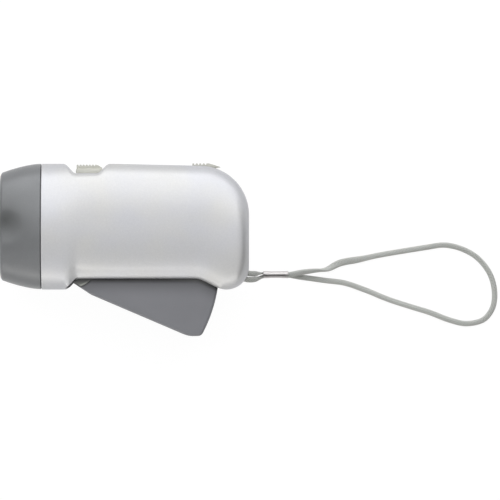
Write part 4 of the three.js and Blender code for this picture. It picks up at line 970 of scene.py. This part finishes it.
def screwWells(mesh):
    # Each screw stands at the foot of a well in a post
    tool, posts = bmesh.new(), bmesh.new()
    well, flare, hole, post = (screws[key] for key in ("well", "flare", "hole", "post"))
    floor, under = -screws["floor"], -screws["under"]
    for centre in screws["centres"]:
        surface = -sideAt(*centre)
        mouth, head = surface + screws["chamfer"], surface + screws["sunk"]
        addRound(tool, centre, [(well, floor), (well, mouth), (well + flare, mouth - flare),
                                (well + flare, -screws["outside"])])
        addRound(posts, centre, [(well, head), (well, floor), (hole, floor), (hole, under), (post, under),
                                 (post, head)], True)
    mesh = carved(mesh, tool)
    addTo(mesh, posts)
    return mesh


housingHalf("left_shell", 1, "left_housing")
housingHalf("right_shell", -1, "right_housing", screwWells)


# Head: a tapering collar with a rounded front rim, a thumb hollow on each side, and the lamps

head = {
    "drop": 4.1, "taper": 1.6, "widthShare": 0.8, "lipDepth": 3.0, "lipInset": 2.6, "spigotEnd": 19.0,
    "roomInset": 3.9, "spigotInset": 2.3, "openingHeight": 18.8, "openingWidth": 15.5, "columns": 160,
    "rim": [(0.12, 7.0), (0.17, 6.0), (0.28, 5.1), (0.5, 4.55), (0.8, 4.12)],
}
thumb = {"radius": 20.0, "x": -3.0, "y": -0.6, "depth": 4.6, "softness": 0.7}


def evenAngles(halfHeight, halfWidth, count):
    dense = np.linspace(0, 2 * math.pi, 1600)
    points = np.array([ringPoint(0, halfHeight, -halfHeight, halfWidth, a) for a in dense])
    reach = np.concatenate([[0], np.cumsum(np.linalg.norm(np.diff(points, axis=0), axis=1))])
    return list(np.interp(np.linspace(0, reach[-1], count + 1)[:-1], reach, dense))


headAngles = evenAngles(torch["halfHeight"], torch["halfThickness"], head["columns"])


def oval(x, halfHeight, halfWidth):
    return [ringPoint(x, halfHeight, -halfHeight, halfWidth, angle) for angle in headAngles]


def headRing(x, inset, at=None, drop=None):
    # The head's outline at one X, drawn at another X where one is given
    if drop is None:
        drop = head["drop"] * (1 - clamp(x / torch["headLength"], 0, 1)) ** head["taper"]
    return oval(x if at is None else at, torch["halfHeight"] - drop - inset,
                torch["halfThickness"] - drop * head["widthShare"] - inset)


def roomRing(x, gap=0.0):
    # The tapered room behind the lens
    share = (x - head["lipDepth"]) / (head["spigotEnd"] - head["lipDepth"])
    wide = headRing(head["spigotEnd"], head["roomInset"] + gap, x)
    slim = headRing(head["lipDepth"], head["lipInset"] + gap, x)
    return [a.lerp(b, share) for a, b in zip(slim, wide)]


def hollowed(point):
    radius = thumb["radius"]
    square = radius ** 2 - (point.x - thumb["x"]) ** 2 - (point.y - thumb["y"]) ** 2
    if square <= 0:
        return point
    sphere = torch["halfThickness"] + radius - thumb["depth"] - math.sqrt(square)
    out, soft = abs(point.z), thumb["softness"]
    lowest = min(out, sphere)
    merged = lowest - soft * math.log(math.exp((lowest - out) / soft) + math.exp((lowest - sphere) / soft))
    return Vector((point.x, point.y, math.copysign(merged, point.z)))


def headCollar():
    end = torch["headLength"]
    rings = [headRing(x, 0, drop=drop) for x, drop in head["rim"]]
    rings += [headRing(x, 0) for x in steps(1.1, 16.9, 40)]
    rings += [headRing(end, inset, x)
              for x, inset in ((17.16, 0.015), (17.24, 0.05), (17.285, 0.1), (17.3, 0.17))]
    rings = [[hollowed(point) for point in ring] for ring in rings]
    rings += [headRing(end, head["spigotInset"] + extra, end) for extra in (0.1, 0)]
    rings += [headRing(end, head["spigotInset"], x) for x in (17.4, 18.8)]
    rings += [headRing(end, head["spigotInset"] + 0.2, 19), roomRing(19)]
    rings += [roomRing(x) for x in (16, 12, 8, 3.1, 3)]
    high, wide = head["openingHeight"], head["openingWidth"]
    rings += [oval(x, high + more, wide + more)
              for x, more in ((3, 0.05), (2.95, 0), (0.45, 0), (0.25, 0.05), (0.13, 0.2))]
    mesh = bmesh.new()
    addLoft(mesh, rings, joined=True)
    return addPiece(mesh, "head_shell", "head_plastic", ["head_collar"])


def closeRing(mesh, row, rings):
    # Fills a ring with ever smaller copies of itself, each pushed along X by its own amount
    count = len(row)
    middle = sum((vertex.co for vertex in row), Vector()) / count
    previous = row
    for share, push in rings:
        offset = Vector((push, 0, 0))
        ring = [mesh.verts.new(middle + (vertex.co - middle) * share + offset) for vertex in row]
        for i in range(count):
            j = (i + 1) % count
            mesh.faces.new((previous[i], previous[j], ring[j], ring[i]))
        previous = ring
    mesh.faces.new(previous)


def lensPiece():
    high, wide = head["openingHeight"] - 0.3, head["openingWidth"] - 0.3
    rings = [roomRing(x, gap) for x, gap in ((4.6, 0.55), (4.55, 0.35), (4.4, 0.3), (3.4, 0.3), (3.3, 0.4))]
    rings += [oval(x, high - less, wide - less)
              for x, less in ((3.3, 0), (2.4, 0), (0.85, 0), (0.6, 0.08), (0.48, 0.25), (0.45, 0.5))]
    mesh = bmesh.new()
    rows = addLoft(mesh, rings)
    crown = [(share, -0.16 * (1 - share ** 2)) for share in (0.9, 0.75, 0.55, 0.35, 0.15)]
    closeRing(mesh, rows[-1], crown)
    closeRing(mesh, rows[0], [(share, 0) for share in (0.8, 0.5, 0.2)])
    return addPiece(mesh, "lens_clear", "clear_plastic", ["lens"])


cups = {"front": 4.9, "rear": 15.5, "mouth": 7.5, "throat": 2.8, "face": 1.6, "wall": 0.8,
        "centres": [(9.0, 0.0), (-6.5, 8.0), (-6.5, -8.0)]}


def addTurned(mesh, profile, y, z, count=48, capped=False):
    # The profile holds pairs of a distance along X and a radius
    rings = [[Vector((x, *around((y, z), radius, angle))) for angle in turns(count)] for x, radius in profile]
    addLoft(mesh, rings, capped=capped)


def addPlate(mesh, x, outline, centres, radius):
    # A flat face at one X, with round holes
    points = [(p.y, p.z) for p in outline]
    loops = [list(range(len(points)))]
    for centre in centres:
        ringStart = len(points)
        points += [around(centre, radius, angle) for angle in turns(48)]
        loops.append(list(range(ringStart, len(points))))
    edges = [(a, b) for loop in loops for a, b in zip(loop, loop[1:] + loop[:1])]
    found, _, faces, _, _, _ = delaunay_2d_cdt([Vector(p) for p in points], edges, [], 1, 1e-5)
    verts = [mesh.verts.new((x, p.x, p.y)) for p in found]
    for face in faces:
        y = sum(found[i].x for i in face) / len(face)
        z = sum(found[i].y for i in face) / len(face)
        if all(math.hypot(y - centre[0], z - centre[1]) > radius * 0.99 for centre in centres):
            mesh.faces.new([verts[i] for i in face])


def reflectorPiece():
    mesh = bmesh.new()
    front, rear, mouth, throat = (cups[key] for key in ("front", "rear", "mouth", "throat"))
    outline = roomRing(front, 0.35)[::2]
    back = roomRing(front + cups["face"], 0.35)[::2]
    addPlate(mesh, front, outline, cups["centres"], mouth)
    addPlate(mesh, front + cups["face"], back, cups["centres"], mouth)
    addLoft(mesh, [outline, back])
    for y, z in cups["centres"]:
        radii = steps(mouth, throat, 18)
        bowl = [(rear - (rear - front) * (r ** 2 - throat ** 2) / (mouth ** 2 - throat ** 2), r)
                for r in radii]
        outside = [(x, r + cups["wall"] * (1 if x > front else 0)) for x, r in reversed(bowl)]
        addTurned(mesh, [*bowl, *outside], y, z)
    bmesh.ops.remove_doubles(mesh, verts=mesh.verts, dist=1e-4)
    return addPiece(mesh, "reflector_cups", "plated_reflector", ["reflector"])


lamp = {"base": 16.6, "straight": 3.4, "radius": 2.45, "flange": 0.9, "flangeRadius": 2.7, "soft": 0.08}


def lampPiece(index, y, z):
    base, radius, wide, soft = (lamp[key] for key in ("base", "radius", "flangeRadius", "soft"))
    front = base - lamp["flange"]
    dome = [around((front - lamp["straight"], 0), -radius, -angle) for angle in steps(0.06, math.pi / 2, 10)]
    profile = [*dome, (front - 0.05, radius), (front, radius + 0.05), (front, wide - soft),
               (front + soft, wide), (base - soft, wide), (base, wide - soft)]
    mesh = bmesh.new()
    addTurned(mesh, profile, y, z, 32, True)
    return addPiece(mesh, f"lamp_{index}", "lamp_resin", [f"led_{index}"])


headCollar()
lensPiece()
reflectorPiece()
for index, centre in enumerate(cups["centres"]):
    lampPiece(index + 1, *centre)


# Lever: a hollow squeeze lever, turned about a pin under the switch

pivot = (31.6, -16.65)
lever = {"hub": 6.6, "tube": 3.2, "disc": 8.85, "discRise": 0.5, "half": 12.0, "wall": 1.8, "edge": 1.2,
         "reach": 60.9, "back": 8.4, "open": math.radians(23.1), "wallTop": math.radians(-5.6),
         "toeForward": 7.0, "toeDrop": 12.1, "along": 55.6, "heel": math.radians(-29.1), "heelRound": 1.3,
         "cheekRise": 1.5, "cheekFront": 10.6, "cheekRear": 7.3, "hubFrom": math.radians(75),
         "hubTo": math.radians(255), "roomRise": 3.0, "mouthFrom": math.radians(15),
         "mouthTo": math.radians(205), "bore": 1.75, "discCut": (0.7, 11.4), "discSunk": 0.4}
materials["lever_plastic"] = leverPlastic()


def curved(start, corner, end, count):
    return [tuple((1 - t) ** 2 * a + 2 * t * (1 - t) * b + t * t * c
                  for a, b, c in zip(start, corner, end)) for t in steps(0, 1, count)]


def leverOutline(inset, rise=0.0):
    # The back ends in a short flat heel before the round tail
    reach = lever["reach"] - inset
    back = around(pivot, lever["back"] - inset, -lever["open"] - math.pi / 2)
    bend = around(back, lever["along"], -lever["open"])
    heel = around(pivot, reach, lever["heel"] + 0.25 * inset / reach)
    heel = (heel[0], bend[1] + 0.12)
    soft = max(lever["heelRound"] - inset, 0.2)
    start = around(bend, -soft * 2, -lever["open"])
    tailFrom = math.atan2(heel[1] - pivot[1], heel[0] - pivot[0]) + soft / reach
    end = around(pivot, reach, tailFrom)
    fillet = [*curved(start, bend, (bend[0] + soft * 1.6, bend[1] + 0.03), 6),
              *curved((heel[0] - soft, heel[1] - 0.02), heel, end, 6)]
    cheek = -grip["depth"] + lever["cheekRise"] + rise
    toe = (pivot[0] + lever["toeForward"], pivot[1] - lever["toeDrop"] + inset)
    hubEnd = around(pivot, lever["hub"] - inset, lever["hubTo"])
    before = tuple(blendTo(a, b, 0.12) for a, b in zip(toe, hubEnd))
    after = tuple(blendTo(a, b, 0.02) for a, b in zip(toe, start))
    return [
        *arc(pivot, lever["hub"] - inset, lever["hubFrom"], lever["hubTo"], 28),
        *curved(before, toe, after, 6),
        *fillet,
        *arc(pivot, reach, tailFrom, lever["wallTop"], 12)[1:],
        around(pivot, lever["reach"] - lever["wall"], lever["wallTop"] + rise / lever["reach"]),
        (pivot[0] + lever["reach"] - lever["cheekRear"], cheek),
        (pivot[0] + lever["cheekFront"], cheek),
    ]


def leverPiece():
    half, edge, inside = lever["half"], lever["edge"], lever["half"] - lever["wall"]
    rolled = [(edge * (1 - math.sin(turn)), edge * (1 - math.cos(turn))) for turn in steps(0, math.pi / 2, 4)]
    sides = [(inset, depth - half) for inset, depth in rolled]
    sides += [(inset, half - depth) for inset, depth in rolled[::-1]]
    body, hollow, mouth = bmesh.new(), bmesh.new(), bmesh.new()
    addLoft(body, [[(x, y, z) for x, y in leverOutline(inset)] for inset, z in sides], capped=True)
    addPrism(hollow, leverOutline(lever["wall"], lever["roomRise"]), -inside, inside)
    opening = [pivot, *arc(pivot, lever["hub"] * 2, lever["mouthFrom"], lever["mouthTo"], 14)]
    addPrism(mouth, opening, -inside, inside)
    body = carved(carved(body, hollow), mouth)
    # The hub disc stands proud of each cheek; its lower edge is cut off along the toe
    inward, drop = lever["discCut"]
    toe = around(pivot, lever["hub"] - inward, lever["hubTo"])
    away = Vector((pivot[1] - drop - toe[1], toe[0] - (pivot[0] + lever["toeForward"]))).normalized()
    disc = []
    for angle in turns(96):
        point = Vector(around(pivot, lever["disc"], angle))
        disc.append(tuple(point - away * max((point - Vector(toe)).dot(away), 0)))
    for side in (-1, 1):
        low, high = sorted((side * (half - lever["discSunk"]), side * (half + lever["discRise"])))
        plate = bmesh.new()
        addPrism(plate, disc, low, high)
        bmesh.ops.remove_doubles(plate, verts=plate.verts, dist=0.01)
        roundEdges(plate, 0.18, 2, 50)
        addTo(body, plate)
    bore, tube = lever["bore"], lever["tube"]
    addRound(body, pivot, [(bore, -half), (tube, -half), (tube, half), (bore, half)], True)
    return addPiece(body, "lever_shell", "lever_plastic", ["lever"], "lever_body")


leverPiece()

leverPin = {"radius": 1.5, "half": 16.6, "chamfer": 0.25}


def leverPinPiece():
    # Shorter than the pin in the CAD, so that its ends stay inside these rounder shells
    radius, half, chamfer = leverPin["radius"], leverPin["half"], leverPin["chamfer"]
    mesh = bmesh.new()
    addRound(mesh, pivot, [(radius - chamfer, -half), (radius, chamfer - half), (radius, half - chamfer),
                           (radius - chamfer, half)])
    return addPiece(mesh, "lever_pin_turned", "bright_steel", ["lever_pin"])


leverPinPiece()


# Sliders: the switch knob in its recess and the lock knob at the tail, both ribbed for the thumb

switch = {"front": 32.05, "rear": 43.35, "bottom": 22.45, "shelf": 24.4, "top": 26.06, "half": 5.0,
          "ramp": 3.0, "pitch": 1.3, "rib": 0.5, "capHalf": 3.7, "corner": 1.0, "taperLength": 5.6,
          "taperWidth": 5, "stem": (36.2, 39.2), "stemFoot": 17.0, "stemTop": 23, "stemHalf": 1.2}
lock = {"front": 81.1, "rear": 93.1, "bottom": 24.6, "top": 26.6, "half": 4.0, "ribbed": 6.9,
        "pitch": 1.48, "rib": 0.6, "tip": (2.96, 0.6), "nose": (2.2, 0.42)}


def ribbedTop(front, rear, top, pitch, depth):
    # Along the top from front to rear, dipping between the ribs
    points = [(front, top)]
    x = front + pitch / 2
    while x < rear - pitch / 2:
        points += [(x, top), (x + 0.08, top - depth)]
        points += [(x + pitch / 2 - 0.08, top - depth), (x + pitch / 2, top)]
        x += pitch
    return points


def switchPiece():
    s = switch
    low, high, corner = s["front"] + s["corner"], s["rear"] - s["corner"], s["half"] - s["corner"]
    outline = []
    for index, centre in enumerate([(low, corner), (high, corner), (high, -corner), (low, -corner)]):
        start = math.pi / 2 - index * math.pi / 2
        outline += arc(centre, s["corner"], start + math.pi / 2, start, 6)
    middle = (s["front"] + s["rear"]) / 2
    rings = []
    for y, inset in ((s["bottom"], 0.15), (s["bottom"] + 0.15, 0), (s["shelf"] - 0.5, 0),
                     (s["shelf"] - 0.27, 0.1), (s["shelf"] - 0.08, 0.32), (s["shelf"], 0.6)):
        along, across = 1 - inset / s["taperLength"], 1 - inset / s["taperWidth"]
        rings.append([(middle + (x - middle) * along, y, z * across) for x, z in outline])
    mesh = bmesh.new()
    addLoft(mesh, rings, capped=True)
    front, rear, foot = s["front"] + 0.3, s["rear"] - 0.3, s["bottom"] + 0.5
    rampTop, fallen = s["rear"] - s["ramp"], s["top"] - s["shelf"] - 0.35
    outline = [(front, foot), *ribbedTop(front, rampTop, s["top"], s["pitch"], s["rib"]), (rampTop, s["top"])]
    outline += [(blendTo(rampTop, rear, t), s["top"] - fallen * t ** 1.7) for t in (0.2, 0.4, 0.6, 0.8, 1)]
    outline += [(rear, foot)]
    cap = bmesh.new()
    addPrism(cap, outline, -s["capHalf"], s["capHalf"])
    roundEdges(cap, 0.09, 2, 25)
    stem = bmesh.new()
    (near, far), stemFoot, stemTop = s["stem"], s["stemFoot"], s["stemTop"]
    addPrism(stem, [(near, stemFoot), (far, stemFoot), (far, stemTop), (near, stemTop)],
             -s["stemHalf"], s["stemHalf"])
    roundEdges(stem, 0.15)
    for part in (cap, stem):
        addTo(mesh, part)
    return addPiece(mesh, "switch_button", "button_plastic", ["switch_knob"], "switch_slider")


def lockPiece():
    k = lock
    ribEnd = k["front"] + k["ribbed"]
    outline = [*ribbedTop(k["front"], ribEnd, k["top"], k["pitch"], k["rib"]), (ribEnd, k["top"]),
               (k["rear"] - k["tip"][0], k["top"] - k["tip"][1]), (k["rear"], k["bottom"] + k["nose"][1]),
               (k["rear"] - k["nose"][0], k["bottom"]), (k["front"], k["bottom"])]
    mesh = bmesh.new()
    addPrism(mesh, outline, -k["half"], k["half"])
    roundEdges(mesh, 0.11, 2, 25)
    return addPiece(mesh, "lock_button", "button_plastic", ["lock_knob"], "lock_slider")


switchPiece()
lockPiece()


# The pieces that keep their CAD shape take a finish from their own slot

for part in frame["record"]["subparts"]:
    node = frame["nodes"][part["node"]]
    node.data.materials.clear()
    node.data.materials.append(materials[part["material_slot"]])
print("inner pieces dressed")


# Table, light and surroundings

studio = {"world": 0.26, "table": 0.94, "glow": 0.9, "shine": 1.06}
# Each lamp points at the middle of the table: its power in watts, size and place in metres, and colour
lamps = {
    "key": (33.0, (3.4, 2.3), (-0.15, 1.15, 1.15), (1, 1, 1)),
    "low": (6.4, (3.4, 0.35), (0.3, 1.4, 0.17), (1, 1, 1)),
    "side": (3.0, (2.6, 1.3), (-0.2, -1.45, 0.85), (1, 0.985, 0.95)),
    "fill": (8.5, (2.8, 0.5), (0, -1.4, 0.2), (1, 0.975, 0.92)),
    "rim": (1.5, (1.2, 0.5), (-1.4, 0.1, 0.3), (1, 1, 1)),
}
card = {"x": 0.5, "y": (-1, 0.1), "z": (0.005, 0.32)}


def seenRays(shade):
    # One for the camera's, the glossy and the transmission rays, and none for the diffuse ones
    rays = [shade.make("ShaderNodeLightPath", out=out)
            for out in ("Is Camera Ray", "Is Glossy Ray", "Is Transmission Ray")]
    return shade.sums("MAXIMUM", shade.sums("MAXIMUM", rays[0], rays[1]), rays[2])


def stagedSheet(name, corners, look, constants):
    data = bpy.data.meshes.new(name)
    data.from_pydata(corners, [], [(0, 1, 2, 3)])
    sheet = addObject(name, data)
    material, shade, surface = newMaterial(look, constants)
    data.materials.append(material)
    return sheet, shade, surface


def studioTable():
    white = (studio["table"],) * 3 + (1,)
    corners = [(-6, -6, 0), (6, -6, 0), (6, 6, 0), (-6, 6, 0)]
    constants = {"Base Color": white, "Roughness": 0.9}
    shade, surface = stagedSheet("table", corners, "table_white", constants)[1:]
    glow = shade.make("ShaderNodeEmission", {}, {"Color": (1, 1, 1, 1), "Strength": studio["shine"]})
    blend = shade.make("ShaderNodeMixShader", {}, {0: seenRays(shade) * studio["glow"], 2: glow})
    shade.tree.links.new(surface.outputs[0], blend.socket.node.inputs[1])
    shade.tree.links.new(blend.socket, shade.tree.nodes["Material Output"].inputs["Surface"])


def studioWorld():
    world = bpy.data.worlds.new("studio")
    bpy.context.scene.world = world
    world.use_nodes = True
    shade = Shade(world.node_tree)
    backdrop = world.node_tree.nodes["Background"]
    backdrop.inputs["Color"].default_value = (1, 1, 1, 1)
    strength = seenRays(shade) * (1 - studio["world"]) + studio["world"]
    world.node_tree.links.new(strength.socket, backdrop.inputs["Strength"])


def softLamp(name, watts, size, where, colour):
    data = bpy.data.lights.new(name, "AREA")
    data.color = colour
    data.shape = "RECTANGLE"
    data.size, data.size_y = size
    data.energy = watts
    holder = addObject(name, data)
    holder.location = where
    holder.rotation_mode = "QUATERNION"
    holder.rotation_quaternion = (-Vector(where)).to_track_quat("-Z", "Y")
    holder.visible_camera = False


def flag():
    # A black card beyond the strap, which the camera can't see, darkens the edge of the tail
    (near, far), (low, high) = card["y"], card["z"]
    corners = [(card["x"], y, z) for y, z in ((near, low), (far, low), (far, high), (near, high))]
    constants = {"Base Color": srgb(20, 20, 20), "Roughness": 0.9}
    stagedSheet("flag", corners, "flag_black", constants)[0].visible_camera = False


studioTable()
studioWorld()
for name, values in lamps.items():
    softLamp(name, *values)
flag()
print("studio ready")
